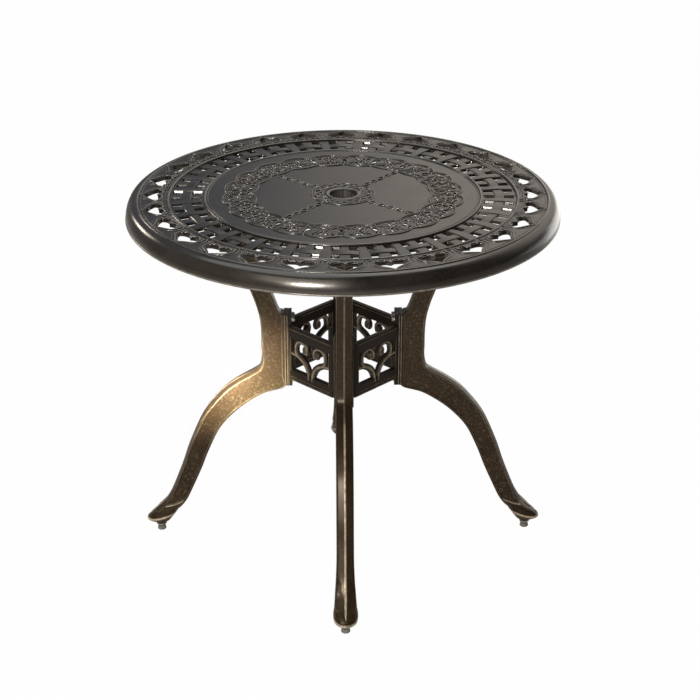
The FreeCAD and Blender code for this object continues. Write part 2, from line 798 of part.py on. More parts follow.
def panel_scrolls(body):
    """In each half of the window: a quarter arch, and a curl with a round eye on it."""
    plane = size("panel_reach") * diagonal
    window = size("panel_window") / 2
    width = size("scroll_width")
    base = size("panel_level") - size("panel_height") / 2 + size("panel_rail")
    tall = size("panel_height") - 2 * size("panel_rail")
    curl = 0.24 * tall
    curl_x = window - curl - width
    curl_y = base + tall - curl
    arch = new_sketch(body, "arch", "XZ_Plane", -plane)
    outline(arch, *band(window, base, 0.80 * window, 90, 180, size("scroll_stem")))
    both_halves(body, "arch", arch)
    bow = new_sketch(body, "curl", "XZ_Plane", -plane)
    outline(bow, *band(curl_x, curl_y, curl, -42, 200, width))
    both_halves(body, "curl", bow)
    eye = new_sketch(body, "eye", "XZ_Plane", -plane)
    add_circle(eye, 0.28 * window, curl_y, "scroll_eye / 2")
    both_halves(body, "eye", eye)


def make_panel():
    body = new_body("panel")
    panel_frame(body)
    panel_ears(body)
    panel_scrolls(body)
    return body


# Bolts and washers, each made once and then set in all its places


def make_bolt(name, length):
    """A hexagon bolt with its head below the origin and its shank along +Z."""
    body = new_body(name)
    across = size("bolt_head_across") / 2 / math.cos(math.pi / 6)
    head = new_sketch(body, "head", "XY_Plane", -size("bolt_head_height"))
    outline(head, *closed([polar(across, 60 * corner) for corner in range(6)]))
    pad(body, head, "bolt_head_height")
    shank = new_sketch(body, "shank", "XY_Plane")
    add_circle(shank, 0, 0, "bolt_diameter / 2")
    pad(body, shank, length)
    document.recompute()
    tip = max(range(len(body.Shape.Edges)), key=lambda index: body.Shape.Edges[index].BoundBox.ZMin)
    shank_solid = body.Tip
    bevel = body.newObject("PartDesign::Chamfer", "point")
    bevel.Base = (shank_solid, [f"Edge{tip + 1}"])
    bind(bevel, Size="bolt_diameter / 8")
    return body


def make_washer():
    """A flat washer, lying on the origin."""
    body = new_body("washer")
    sketch = new_sketch(body, "ring", "XY_Plane")
    add_circle(sketch, 0, 0, "washer_diameter / 2")
    add_circle(sketch, 0, 0, "(bolt_diameter + bolt_clearance) / 2")
    pad(body, sketch, "washer_thickness")
    return body


def make_insert():
    """Threaded insert: a collar under the sole and a barrel pressed into it."""
    body = new_body("insert")
    low = size("foot_height") - size("collar_thickness")
    sole = size("foot_height")
    high = sole + size("insert_length")
    bore = (size("stud_diameter") + size("stud_clearance")) / 2
    barrel = size("insert_diameter") / 2
    collar = size("insert_collar") / 2
    points = [(bore, low), (collar, low), (collar, sole), (barrel, sole), (barrel, high), (bore, high)]
    turned(body, "insert_section", points)
    return body


def placed(label, pattern, place):
    """A body of its own that repeats a finished piece at one place."""
    body = new_body(label)
    clone = document.addObject("PartDesign::FeatureBase", f"{label}_shape")
    clone.BaseFeature = pattern
    body.Group = [clone]
    body.Tip = clone
    body.Placement = place
    return body


def grouped(label, pattern, places):
    """One node that holds a copy of a piece at each of its places."""
    group = document.addObject("Part::Feature", label)
    group.Label = label
    copies = []
    for place in places:
        copy = pattern.Shape.copy()
        copy.Placement = place.multiply(copy.Placement)
        copies.append(copy)
    group.Shape = Part.makeCompound(copies)
    return group


def panel_bolt_places(back):
    """Seats of the panel bolts: against the ears, or further in by a washer."""
    radius = seat_face - size("ear_thickness") - back
    middle = seat_low + size("seat_height") / 2
    places = []
    for _, degrees in LEGS:
        for side in (1, -1):
            for height in (-1, 1):
                z = middle + height * size("panel_bolt_spread") / 2
                local = lying(radius, side * ear_middle, z)
                places.append(spun(degrees).multiply(local))
    return places


def top_bolt_places(below):
    places = []
    for _, degrees in LEGS:
        for side in (1, -1):
            local = standing(size("fix_radius"), side * fix_offset, flange_under - below)
            places.append(spun(degrees).multiply(local))
    return places


def foot_place(degrees):
    return spun(degrees).multiply(standing(size("foot_radius"), 0, 0))


# The levelling feet


def make_stud():
    """Threaded stud with a hexagon to turn it by, and a disc that the pad holds."""
    body = new_body("foot_stud")
    disc = size("disc_diameter") / 2
    neck = size("neck_diameter") / 2
    stud = size("stud_diameter") / 2
    low = size("pad_floor")
    shelf = low + size("disc_height")
    nut_top = size("foot_height") - size("collar_thickness") - size("nut_gap")
    nut_low = nut_top - size("nut_height")
    tip = size("stud_tip")
    points = [(0, low), (disc, low), (disc, shelf), (neck, shelf), (neck, nut_low), (stud, nut_low)]
    point = size("stud_point")
    points += [(stud, tip - point), (stud - point, tip), (0, tip)]
    turned(body, "stud_section", points)
    nut = new_sketch(body, "nut", "XY_Plane", nut_low)
    across = size("nut_across") / 2 / math.cos(math.pi / 6)
    outline(nut, *closed([polar(across, 60 * corner) for corner in range(6)]))
    pad(body, nut, "nut_height")
    return body


def make_foot_pad():
    """Plastic pad that stands on the floor and holds the disc of the stud."""
    body = new_body("foot_pad")
    wide = size("pad_diameter") / 2
    top = size("pad_height")
    free = size("socket_clearance")
    cavity = size("disc_diameter") / 2 + free
    lip = size("neck_diameter") / 2 + free
    floor = size("pad_floor") - free
    roof = size("pad_floor") + size("disc_height") + free
    bevel = size("pad_bevel")
    points = [(0, 0), (wide - bevel, 0), (wide, bevel), (wide, 0.35 * top), (wide - size("pad_taper"), top)]
    points += [(lip, top), (lip, roof), (cavity, roof), (cavity, floor), (0, floor)]
    turned(body, "pad_section", points)
    return body


# The assembly

tabletop = make_tabletop()
leg = make_leg()
panel = make_panel()
stud = make_stud()
foot_pad = make_foot_pad()
panel_bolt = make_bolt("panel_bolt", "panel_bolt_length")
top_bolt = make_bolt("top_bolt", "top_bolt_length")
washer = make_washer()
insert = make_insert()
document.recompute()

nodes = [tabletop]
nodes += [placed(f"leg_{name}", leg, spun(degrees)) for name, degrees in LEGS]
nodes += [placed(f"panel_{name}", panel, spun(degrees - 90)) for name, degrees in PANELS]
nodes += [placed(f"foot_stud_{name}", stud, foot_place(degrees)) for name, degrees in LEGS]
nodes += [placed(f"foot_pad_{name}", foot_pad, foot_place(degrees)) for name, degrees in LEGS]
washer_thickness = size("washer_thickness")
nodes.append(grouped("panel_bolts", panel_bolt, panel_bolt_places(washer_thickness)))
nodes.append(grouped("panel_washers", washer, panel_bolt_places(washer_thickness)))
nodes.append(grouped("top_bolts", top_bolt, top_bolt_places(washer_thickness)))
nodes.append(grouped("top_washers", washer, top_bolt_places(washer_thickness)))
nodes.append(grouped("foot_inserts", insert, [foot_place(degrees) for _, degrees in LEGS]))
document.recompute()

for feature in document.Objects:
    if "Invalid" in feature.State or "Error" in feature.State:
        raise RuntimeError(f"{feature.Label} failed: {feature.State}")

os.makedirs("parts", exist_ok=True)
for node in nodes:
    shape = node.Shape
    if shape.isNull() or not shape.isValid():
        raise RuntimeError(f"{node.Label} has no valid shape")
    shape.exportStep(f"parts/{node.Label}.step")
    print(node.Label, len(shape.Solids), round(shape.Volume), shape.BoundBox)
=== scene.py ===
import math

import bmesh
import bpy
import numpy as np
from mathutils import Matrix, Vector, noise


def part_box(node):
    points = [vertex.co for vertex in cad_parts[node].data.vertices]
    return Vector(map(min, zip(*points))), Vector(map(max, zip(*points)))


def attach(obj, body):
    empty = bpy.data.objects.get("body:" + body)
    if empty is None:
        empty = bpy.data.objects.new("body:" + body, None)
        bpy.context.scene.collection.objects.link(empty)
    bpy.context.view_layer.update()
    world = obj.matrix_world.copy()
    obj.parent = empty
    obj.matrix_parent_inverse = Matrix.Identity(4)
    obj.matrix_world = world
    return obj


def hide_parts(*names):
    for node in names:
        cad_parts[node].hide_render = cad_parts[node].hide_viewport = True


# Cast umbrella table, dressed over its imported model. Shapes are drawn in millimetres and
# become metres when a mesh is made. The origin is on the floor under the umbrella hole,
# +Z is up and the front leg points towards -Y.

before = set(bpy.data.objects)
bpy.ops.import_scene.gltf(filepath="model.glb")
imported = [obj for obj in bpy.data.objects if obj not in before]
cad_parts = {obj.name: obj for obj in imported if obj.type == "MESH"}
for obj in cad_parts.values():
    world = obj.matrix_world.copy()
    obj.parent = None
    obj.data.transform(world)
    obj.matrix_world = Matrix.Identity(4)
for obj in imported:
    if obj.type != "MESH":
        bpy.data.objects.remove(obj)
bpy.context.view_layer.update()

MM = 0.001

# Sizes read from the frame

TABLE_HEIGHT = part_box("tabletop")[1].z / MM
TOP_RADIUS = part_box("tabletop")[1].x / MM
RIM_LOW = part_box("tabletop")[0].z / MM

# The cast top: heights, then the rim

BEAD_HEIGHT = 2
PLATE_TOP = TABLE_HEIGHT - BEAD_HEIGHT
PLATE_UNDER = PLATE_TOP - 6
ARCH_UNDER = PLATE_TOP - 7.5
BAND_UNDER = PLATE_TOP - 2.2
LATTICE_TOP = PLATE_TOP - 1.8
SLEEVE_LOW = PLATE_TOP - 18
RIM_FLAT = TOP_RADIUS - 20
RIM_WALL = 5
RIM_LAND = 3
RIM_SHOULDER = 15
RIM_LIP = 1.7

# Its pierced patterns from the outside in: radii, openings and how many there are

ARCHES = 28
ARCH_TIP = 370
ARCH_BASE = 335
ARCH_HALF = 28
ARCH_EYE = 25.4
OUTER_BEAD = 321
INNER_BEAD = 254
COLUMNS = 56
OUTER_ROW = 305
INNER_ROW = 269
GAP_LENGTH = 18.5
GAP_WIDTH = 14.5
GAP_DRAFT = 1.3
FLOWERS = 20
FLOWER_RADIUS = 190
FLOWER_START = 7.5
PETAL_LEANS = (-34, 0, 34)
PETAL_GAPS = (-51, -17, 17, 51)
EYE_REACH = 18
EYE_RADIUS = 5.2
BAND_INSIDE = 158
ARMS = 4
ROPE_START = 50
ROPE_LINKS = 5
ROPE_FIRST = 70
ROPE_PITCH = 20.5
TWIST_COUNT = 8
TWIST_START = 6
TWIST_RADIUS = 47.5
UMBRELLA_HOLE = 25

# What stands below the top: bosses, legs and the strips that the panels are bolted to

FIX_RADIUS = 238
FIX_OFFSET = 23
SEAT_FACE = 104
SEAT_LOW = 328
SEAT_HIGH = 477
LEG_ANGLES = {"right": 0, "back": 90, "left": 180, "front": 270}
PANEL_ANGLES = {"back_right": 45, "back_left": 135, "front_left": 225, "front_right": 315}


# Shapes: points and faces gathered bit by bit


class Shape:
    """Points in millimetres, how much each one is painted lighter as wear and as highlight, from 0 to 1,
    and faces.
    """

    def __init__(self):
        self.points = np.zeros((0, 3))
        self.wear_and_highlight = np.zeros(0)
        self.faces = []

    def add(self, points, faces, wear_and_highlight=0.0):
        first = len(self.points)
        self.points = np.vstack([self.points, points])
        self.wear_and_highlight = np.concatenate([self.wear_and_highlight, np.broadcast_to(wear_and_highlight, len(points))])
        self.faces += [tuple(first + painted_reflection_patch for painted_reflection_patch in face) for face in faces]

    def join(self, *others):
        for other in others:
            self.add(other.points, other.faces, other.wear_and_highlight)
        return self

    def moved(self, matrix):
        copy = Shape()
        turn = np.array(matrix.to_3x3())
        copy.add(self.points @ turn.T + np.array(matrix.translation), self.faces, self.wear_and_highlight)
        return copy


def spun(degrees):
    return Matrix.Rotation(math.radians(degrees), 4, "Z")


def all_round(shape, count, start=0.0):
    """Copies of a shape at even steps round the axis of the table."""
    ring = Shape()
    for step in range(count):
        ring.join(shape.moved(spun(start + step * 360 / count)))
    return ring


def placed_loop(points, x, y, degrees):
    """An outline turned by an angle and moved to a point."""
    lean = math.radians(degrees)
    cos, sin = math.cos(lean), math.sin(lean)
    return [(x + u * cos - v * sin, y + u * sin + v * cos) for u, v in points]


def turn_loops(loops, count, start=0.0):
    """Closed outlines repeated at even steps round the axis."""
    turns = [start + step * 360 / count for step in range(count)]
    return [placed_loop(loop, 0, 0, degrees) for degrees in turns for loop in loops]


def sector(x, y, radius, first, last, steps):
    """Points along an arc from one angle up to, and without, another."""
    turns = (first + (last - first) * step / steps for step in range(steps))
    return [(x + radius * math.cos(turn), y + radius * math.sin(turn)) for turn in turns]


def circle(x, y, radius, steps=20):
    """Closed outline of a circle."""
    return sector(x, y, radius, 0, 2 * math.pi, steps)


def arc(start, middle, end, steps=6):
    """Points from a start up to, and without, an end, on the circle through a middle point."""
    a, b, c = (complex(*point) for point in (start, middle, end))
    ratio = (c - a) / (b - a)
    centre = a + (b - a) * (ratio - abs(ratio) ** 2) / (2j * ratio.imag)
    full = 2 * math.pi
    to_middle = np.angle((b - centre) / (a - centre)) % full
    to_end = np.angle((c - centre) / (a - centre)) % full
    whole_turn = to_end if to_middle < to_end else to_end - full
    points = []
    for step in range(steps):
        turn = whole_turn * step / steps
        place = centre + (a - centre) * complex(math.cos(turn), math.sin(turn))
        points.append((place.real, place.imag))
    return points


def smooth(points, steps=8):
    """Points of a curve that runs evenly through a few points, ends included."""
    keys = np.asarray(points, float)
    keys = np.vstack([2 * keys[0] - keys[1], keys, 2 * keys[-1] - keys[-2]])
    curve = []
    for a, b, c, d in zip(keys, keys[1:], keys[2:], keys[3:]):
        for step in range(steps):
            t = step / steps
            slope = (c - a) * t
            bend = (2 * a - 5 * b + 4 * c - d) * t**2
            twist = (3 * b - a - 3 * c + d) * t**3
            curve.append(0.5 * (2 * b + slope + bend + twist))
    curve.append(keys[-2])
    return np.array(curve)


def fade(value, low, high):
    """0 at low, 1 at high, level before and after, with an even turn between them."""
    share = np.clip((value - low) / (high - low), 0, 1)
    return share * share * (3 - 2 * share)


def slot_loop(x, y, length, width, degrees, steps=6):
    """Closed outline of a slot about a point, lying along an angle."""
    reach, radius = (length - width) / 2, width / 2
    right = sector(reach, 0, radius, -math.pi / 2, math.pi / 2, steps) + [(reach, radius)]
    return placed_loop(right + [(-u, -v) for u, v in right], x, y, degrees)


def lens_loop(x, y, length, width, degrees, steps=6):
    """Closed outline of a leaf with two pointed ends."""
    half = length / 2
    upper = arc((half, 0), (0, width / 2), (-half, 0), steps)
    return placed_loop(upper + [(-u, -v) for u, v in upper], x, y, degrees)


def mirrored(run):
    """A run in reverse order on the other side of the middle line."""
    return [(x, -y) for x, y in reversed(run)]


def with_left_half(right):
    """The right half of a section, from its foot up, followed by its left half."""
    return right + [(-x, z) for x, z in reversed(right)]


def bead_section(width, height, root=1.0, steps=8):
    """Half an ellipse standing on a flat foot that is sunk into the plate."""
    crown = [math.pi * step / steps for step in range(steps + 1)]
    section = [(width / 2 * math.cos(turn), height * math.sin(turn)) for turn in crown]
    return section + [(-width / 2, -root), (width / 2, -root)]


def strap_section(half, height, bevel, root):
    """A flat bar with bevelled upper edges."""
    return with_left_half([(half, -root), (half, height - bevel), (half - bevel, height)])


def roof_section(width, edge, crest):
    """A bar with a ridge along the middle of its front and of its back."""
    half = width / 2
    side = [(half, edge), (0.34 * half, crest - 0.8), (0.12 * half, crest - 0.2)]
    front = side + [(0, crest)] + [(-x, z) for x, z in reversed(side)]
    return front + [(x, -z) for x, z in reversed(front)]


def skin(rows, wear_and_highlight=0.0, capped=True):
    """A shape over rows of points, each row a ring, closed at both ends if it is capped."""
    count, ring = len(rows), len(rows[0])
    faces = []
    for row in range(count - 1):
        here, there = row * ring, (row + 1) * ring
        for painted_reflection_patch in range(ring):
            after = (painted_reflection_patch + 1) % ring
            faces.append((here + painted_reflection_patch, here + after, there + after, there + painted_reflection_patch))
    if capped:
        faces += [tuple(range(ring)), tuple(range((count - 1) * ring, count * ring))]
    shape = Shape()
    shape.add(np.asarray(rows, float).reshape(-1, 3), faces, wear_and_highlight)
    return shape


def sweep(path, section, level=0.0, closed=False, widths=1.0, heights=1.0):
    """A bar along a path, painted lightest on its crests as wear and as highlight; the section's points lie
    beside and above it.
    """
    path = np.asarray(path, float)
    if path.shape[1] == 2:
        path = np.column_stack([path, np.full(len(path), level)])
    ahead = np.roll(path, -1, 0) - np.roll(path, 1, 0) if closed else np.gradient(path, axis=0)
    beside = np.column_stack([ahead[:, 1], -ahead[:, 0], np.zeros(len(path))])
    beside /= np.linalg.norm(beside, axis=1)[:, None]
    section = np.asarray(section, float)
    wide = np.broadcast_to(widths, len(path))[:, None, None]
    high = np.broadcast_to(heights, len(path))[:, None, None]
    sides = section[None, :, 0, None] * wide * beside[:, None, :]
    lifts = section[None, :, 1, None] * high * np.array([0.0, 0.0, 1.0])
    rows = path[:, None, :] + sides + lifts
    outmost = np.abs(section[:, 0]) > 0.98 * section[:, 0].max()
    crest = np.where(outmost, 0, np.clip(np.abs(section[:, 1]) / section[:, 1].max(), 0, 1) ** 10)
    wear_and_highlight = np.tile(crest, len(path))
    if not closed:
        return skin(rows, wear_and_highlight)
    return skin(np.concatenate([rows, rows[:1]]), np.concatenate([wear_and_highlight, crest]), capped=False)


def moulding(path, width, height, closed=False, taper=1.0):
    """A bead on the top along a path, with a taper that scales its width and height."""
    return sweep(path, bead_section(width, height), PLATE_TOP, closed, taper, taper)


def revolve(profile, steps, wear_and_highlight=0.0):
    """A closed run of (radius, height) points turned round the axis."""
    profile = np.asarray(profile, float)
    turns = np.arange(steps + 1) * 2 * math.pi / steps
    cos, sin = np.cos(turns)[:, None], np.sin(turns)[:, None]
    heights = np.broadcast_to(profile[:, 1], (steps + 1, len(profile)))
    rows = np.stack([profile[:, 0] * cos, profile[:, 0] * sin, heights], axis=-1)
    return skin(rows, np.tile(np.broadcast_to(wear_and_highlight, len(profile)), steps + 1), capped=False)


def ring_bead(radius, width, height, steps=360):
    """A raised bead all the way round the top."""
    section = np.array(bead_section(width, height))
    wear_and_highlight = 0.6 * np.clip(section[:, 1] / height, 0, 1) ** 10
    return revolve(section + (radius, PLATE_TOP), steps, wear_and_highlight)


def button(x, y, radius, height, level, steps=16, rings=4):
    """A round boss with a domed head, its foot sunk into the plate."""
    rows = [[(px, py, level - 1) for px, py in circle(x, y, radius, steps)]]
    for ring in range(rings):
        lean = math.pi / 2 * ring / rings
        outline = circle(x, y, radius * math.cos(lean), steps)
        rows.append([(px, py, level + height * math.sin(lean)) for px, py in outline])
    rows.append([(px, py, level + height) for px, py in circle(x, y, 0.05 * radius, steps)])
    wear_and_highlight = np.repeat([0, 0] + [ring / rings for ring in range(1, rings + 1)], steps)
    return skin(rows, wear_and_highlight)


def taken_from(mesh):
    """The points and faces of a mesh, which is then deleted."""
    shape = Shape()
    points = np.array([tuple(vertex.co) for vertex in mesh.vertices])
    shape.add(points, [tuple(face.vertices) for face in mesh.polygons])
    bpy.data.meshes.remove(mesh)
    return shape


def pierced(loops, low, high, edge=0.8):
    """A flat plate from its closed outlines, holes included, with rounded edges."""
    curve = bpy.data.curves.new("outlines", "CURVE")
    curve.dimensions = "2D"
    curve.fill_mode = "BOTH"
    curve.extrude = (high - low) / 2 - edge
    curve.bevel_depth = edge
    curve.bevel_resolution = 1
    curve.offset = -edge
    for loop in loops:
        spline = curve.splines.new("POLY")
        spline.points.add(len(loop) - 1)
        spline.points.foreach_set("co", [value for x, y in loop for value in (x, y, 0.0, 1.0)])
        spline.use_cyclic_u = True
    drawn = bpy.data.objects.new("outlines", curve)
    shape = taken_from(bpy.data.meshes.new_from_object(drawn))
    bpy.data.objects.remove(drawn)
    bpy.data.curves.remove(curve)
    return shape.moved(Matrix.Translation((0, 0, (low + high) / 2)))


def block(low, high, bevel=1.0):
    """A box between two corners with bevelled edges."""
    low, high = Vector(low), Vector(high)
    box = bmesh.new()
    bmesh.ops.create_cube(box, size=1.0)
    bmesh.ops.scale(box, vec=high - low, verts=box.verts)
    bmesh.ops.translate(box, vec=(low + high) / 2, verts=box.verts)
    bmesh.ops.bevel(box, geom=box.edges[:], offset=bevel, segments=2, affect="EDGES", profile=0.5)
    mesh = bpy.data.meshes.new("block")
    box.to_mesh(mesh)
    box.free()
    return taken_from(mesh)


def make_piece(name, shape, material, node, crease=38, flat=True):
    """Turns a shape into a piece that rides on the table and stands for a CAD node."""
    mesh = bpy.data.meshes.new(name)
    mesh.from_pydata((shape.points * MM).tolist(), [], shape.faces)
    mesh.attributes.new("wear_and_highlight", "FLOAT", "POINT").data.foreach_set("value", shape.wear_and_highlight)
    welded = bmesh.new()
    welded.from_mesh(mesh)
    bmesh.ops.remove_doubles(welded, verts=welded.verts, dist=0.002 * MM)
    bmesh.ops.recalc_face_normals(welded, faces=welded.faces)
    welded.to_mesh(mesh)
    welded.free()
    mesh.shade_smooth()
    mesh.set_sharp_from_angle(angle=math.radians(crease))
    mesh.materials.append(material)
    piece = bpy.data.objects.new(name, mesh)
    bpy.context.scene.collection.objects.link(piece)
    if flat:
        normals = piece.modifiers.new("flat faces stay flat", "WEIGHTED_NORMAL")
        normals.weight = 100
        normals.keep_sharp = True
    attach(piece, "root")
    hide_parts(node)


# Materials


class Recipe:
    """The shader nodes of a material or of the world, added one by one."""

    def __init__(self, owner):
        owner.use_nodes = True
        self.owner = owner
        self.nodes = owner.node_tree.nodes
        self.links = owner.node_tree.links
        self.nodes.clear()

    def node(self, kind, inputs=None, **settings):
        """The outputs of a new node. Its inputs are numbers, colours or outputs of other nodes."""
        node = self.nodes.new("ShaderNode" + kind)
        for name, value in settings.items():
            setattr(node, name, value)
        for name, value in (inputs or {}).items():
            if isinstance(value, bpy.types.NodeSocket):
                self.links.new(value, node.inputs[name])
            elif isinstance(value, tuple):
                node.inputs[name].default_value = (*value, 1.0)
            else:
                node.inputs[name].default_value = value
        return node.outputs

    def noise(self, scale, detail=2.0, roughness=0.5):
        """Cloudy noise that is fixed to the object."""
        place = self.node("TexCoord")["Object"]
        inputs = {"Vector": place, "Scale": scale, "Detail": detail, "Roughness": roughness}
        return self.node("TexNoise", inputs)["Fac"]

    def ranged(self, value, low, high, to_low=0.0, to_high=1.0, kind="LINEAR"):
        """A value mapped from one range to another, clamped."""
        inputs = {"Value": value, "From Min": low, "From Max": high, "To Min": to_low, "To Max": to_high}
        return self.node("MapRange", inputs, interpolation_type=kind)["Result"]

    def mixed(self, share, first, second):
        """Two colours, each given or from another node, mixed by a share."""
        factor, a, b, result = 0, 6, 7, 2
        return self.node("Mix", {factor: share, a: first, b: second}, data_type="RGBA")[result]

    def maths(self, operation, first, second):
        return self.node("Math", {0: first, 1: second}, operation=operation)[0]

    def bump(self, height, distance, strength):
        """A normal that follows a height, with its distance in millimetres."""
        inputs = {"Height": height, "Distance": distance * MM, "Strength": strength}
        return self.node("Bump", inputs)["Normal"]

    def axes(self, kind):
        """X, Y and Z of a place or a direction."""
        return self.node("SeparateXYZ", {"Vector": self.node("TexCoord")[kind]})

    def seen_directly(self):
        """1 where the camera looks straight at something, or through glass at it."""
        paths = self.node("LightPath")
        return self.maths("MAXIMUM", paths["Is Camera Ray"], paths["Is Transmission Ray"])

    def finish(self, kind, inputs):
        """Puts a last shader on the output and gives back the material or the world."""
        output = "OutputWorld" if isinstance(self.owner, bpy.types.World) else "OutputMaterial"
        self.node(output, {"Surface": self.node(kind, inputs)[0]})
        return self.owner


def bronze_coat(name, shade, tint, gold, dust, crest, rub_and_highlight, rough, sheen, index, specks=(0.55, 0.68)):
    """Dark bronze powder coat: clouded colour, gold dust, crests painted lighter as wear and as highlight,
    and a fine orange peel.
    """
    recipe = Recipe(bpy.data.materials.new(name))
    cloud = recipe.noise(16, 4)
    patch = recipe.noise(90, 3, 0.6)
    base = recipe.mixed(recipe.ranged(cloud, 0.35, 0.65), shade, tint)
    wear_and_highlight = recipe.node("Attribute", attribute_name="wear_and_highlight")["Fac"]
    crests = recipe.maths("MULTIPLY", wear_and_highlight, recipe.ranged(patch, 0.3, 0.6, 0.35, 1.0))
    rubbed_and_highlit = recipe.maths("MULTIPLY", crests, rub_and_highlight)
    sparkle = recipe.ranged(recipe.noise(700, 2, 0.6), *specks, 0.0, dust)
    dusted = recipe.mixed(sparkle, base, gold)
    bare_and_highlit = recipe.maths("MAXIMUM", recipe.maths("MULTIPLY", rubbed_and_highlit, 0.4), sparkle)
    return recipe.finish("BsdfPrincipled", {
        "Base Color": recipe.mixed(rubbed_and_highlit, dusted, crest),
        "Metallic": recipe.ranged(bare_and_highlit, 0.0, 1.0, 0.0, 0.9),
        "Roughness": recipe.ranged(cloud, 0.3, 0.7, rough - 0.03, rough + 0.06),
        "IOR": index,
        "Specular Tint": sheen,
        "Normal": recipe.bump(recipe.noise(1100, 1), 0.12, 0.12),
    })


def zinc_plate(name, dark, light):
    """Zinc plating, faintly clouded."""
    recipe = Recipe(bpy.data.materials.new(name))
    cloud = recipe.noise(160, 3)
    return recipe.finish("BsdfPrincipled", {
        "Base Color": recipe.mixed(recipe.ranged(cloud, 0.35, 0.65), dark, light),
        "Metallic": 1.0,
        "Roughness": recipe.ranged(cloud, 0.3, 0.7, 0.3, 0.48),
        "Normal": recipe.bump(recipe.noise(900, 2), 0.05, 0.3),
    })


def foot_nylon():
    """Grey-green moulded nylon with a dull sheen and scuffs."""
    recipe = Recipe(bpy.data.materials.new("foot_nylon"))
    scuff = recipe.noise(260, 5, 0.7)
    dark, light = (0.11, 0.12, 0.10), (0.26, 0.27, 0.24)
    return recipe.finish("BsdfPrincipled", {
        "Base Color": recipe.mixed(recipe.ranged(scuff, 0.4, 0.7), dark, light),
        "Roughness": recipe.ranged(scuff, 0.3, 0.7, 0.35, 0.6),
        "Normal": recipe.bump(scuff, 0.1, 0.2),
    })


# Each coat paints its crest colour on marked points: partly rubbed wear, partly painted highlights on the
# crests of the relief.
top_coat = bronze_coat(
    "top_coat", shade=(0.008, 0.007, 0.006), tint=(0.015, 0.012, 0.010), gold=(0.40, 0.34, 0.26),
    dust=0.06, crest=(0.52, 0.48, 0.42), rub_and_highlight=0.38, rough=0.20, sheen=(1.0, 0.98, 0.96), index=1.72)
# The legs' pale crest colour also paints the highlight line along the ridge of each leg.
leg_coat = bronze_coat(
    "leg_coat", shade=(0.010, 0.006, 0.003), tint=(0.020, 0.011, 0.005), gold=(0.62, 0.44, 0.24),
    dust=0.08, crest=(0.85, 0.72, 0.55), rub_and_highlight=0.62, rough=0.32, sheen=(1.0, 0.88, 0.74), index=1.38,
    specks=(0.50, 0.68))
# The panels and the legs' strips get a darker copy of the bronze coat, as painted shade under the top.
shaded_panel_coat = bronze_coat(
    "shaded_panel_coat", shade=(0.005, 0.004, 0.003), tint=(0.010, 0.007, 0.005), gold=(0.42, 0.34, 0.25),
    dust=0.04, crest=(0.70, 0.60, 0.46), rub_and_highlight=0.60, rough=0.36, sheen=(1.0, 0.9, 0.8), index=1.36)
zinc = zinc_plate("zinc_plate", (0.42, 0.42, 0.40), (0.58, 0.58, 0.56))
stud_zinc = zinc_plate("stud_zinc", (0.16, 0.155, 0.14), (0.26, 0.25, 0.23))
nylon = foot_nylon()


# The rim and the ring of arches


def rim_bend(level, wide, high, shoulder, steps=9):
    """Two arcs that turn from level to upright, the second one wider than the first."""
    foot = level - high
    flank = (wide**2 + (high - shoulder) ** 2 - shoulder**2) / (2 * (wide - shoulder))
    centre_x = RIM_FLAT + wide - flank
    centre_z = level - shoulder
    lean = math.atan2(centre_z - foot, RIM_FLAT - centre_x)
    upper = sector(RIM_FLAT, centre_z, shoulder, math.pi / 2, lean, steps)
    lower = sector(centre_x, foot, flank, lean, 0, steps)
    return upper + lower + [(centre_x + flank, foot)]


def rim():
    """The rolled rim, with a rounded lip along its lower edge and two beads on its flat."""
    width = TOP_RADIUS - RIM_FLAT
    land = RIM_LOW + RIM_LAND
    neck = 1.0
    outside = rim_bend(PLATE_TOP, width - neck, PLATE_TOP - land - 2, RIM_SHOULDER)
    inside = rim_bend(PLATE_UNDER, width - RIM_WALL, PLATE_UNDER - land, RIM_SHOULDER - RIM_WALL)
    lip_top = (TOP_RADIUS - neck, land + 1)
    lip_out = (TOP_RADIUS - 0.15, RIM_LOW + RIM_LIP)
    lip_low = (TOP_RADIUS - RIM_LIP, RIM_LOW)
    lip = arc(lip_top, lip_out, lip_low, 8) + [lip_low]
    sole = [(TOP_RADIUS - RIM_WALL + 1, RIM_LOW), (TOP_RADIUS - RIM_WALL, RIM_LOW + 1)]
    start = RIM_FLAT - 4
    profile = [(start, PLATE_TOP)] + outside + lip + sole + inside[::-1] + [(start, PLATE_UNDER)]
    wear_and_highlight = np.zeros(len(profile))
    first = 1 + len(outside)
    # The lip's roll is painted light: rubbed wear and the highlight line along it.
    wear_and_highlight[first + 1:first + 6] = 1.0
    shape = revolve(profile, 360, wear_and_highlight)
    return shape.join(ring_bead(RIM_FLAT - 3, 5.5, BEAD_HEIGHT), ring_bead(RIM_FLAT - 9, 1.8, 0.7))


def rib(radius):
    """A stiffening ring below the plate."""
    half, depth = 2, 5
    low = PLATE_UNDER - depth
    side = [(half, PLATE_UNDER + 2), (half, low + 1), (half - 1, low)]
    return revolve([(radius + x, z) for x, z in with_left_half(side)], 240)


def arch_opening():
    """Closed outline of a keel arch with a low leaf at its base; x is the radius."""
    rise = ARCH_TIP - ARCH_BASE
    half = ARCH_HALF
    tip = (ARCH_TIP, 0)
    hollow = (ARCH_TIP - 0.20 * rise, 0.20 * half)
    shoulder = (ARCH_TIP - 0.40 * rise, 0.52 * half)
    swell = (ARCH_TIP - 0.62 * rise, 0.86 * half)
    haunch = (ARCH_BASE + 0.24 * rise, half)
    heel = (ARCH_BASE + 0.12 * rise, 0.90 * half)
    foot = (ARCH_BASE + 0.04 * rise, 0.72 * half)
    leaf_foot = (ARCH_BASE, 0.30 * half)
    leaf_side = (ARCH_BASE + 0.07 * rise, 0.14 * half)
    leaf_tip = (ARCH_BASE + 0.16 * rise, 0)
    run = arc(tip, hollow, shoulder) + arc(shoulder, swell, haunch) + arc(haunch, heel, foot)
    run += [foot] + arc(leaf_foot, leaf_side, leaf_tip)
    return run + [leaf_tip] + mirrored(run[1:])


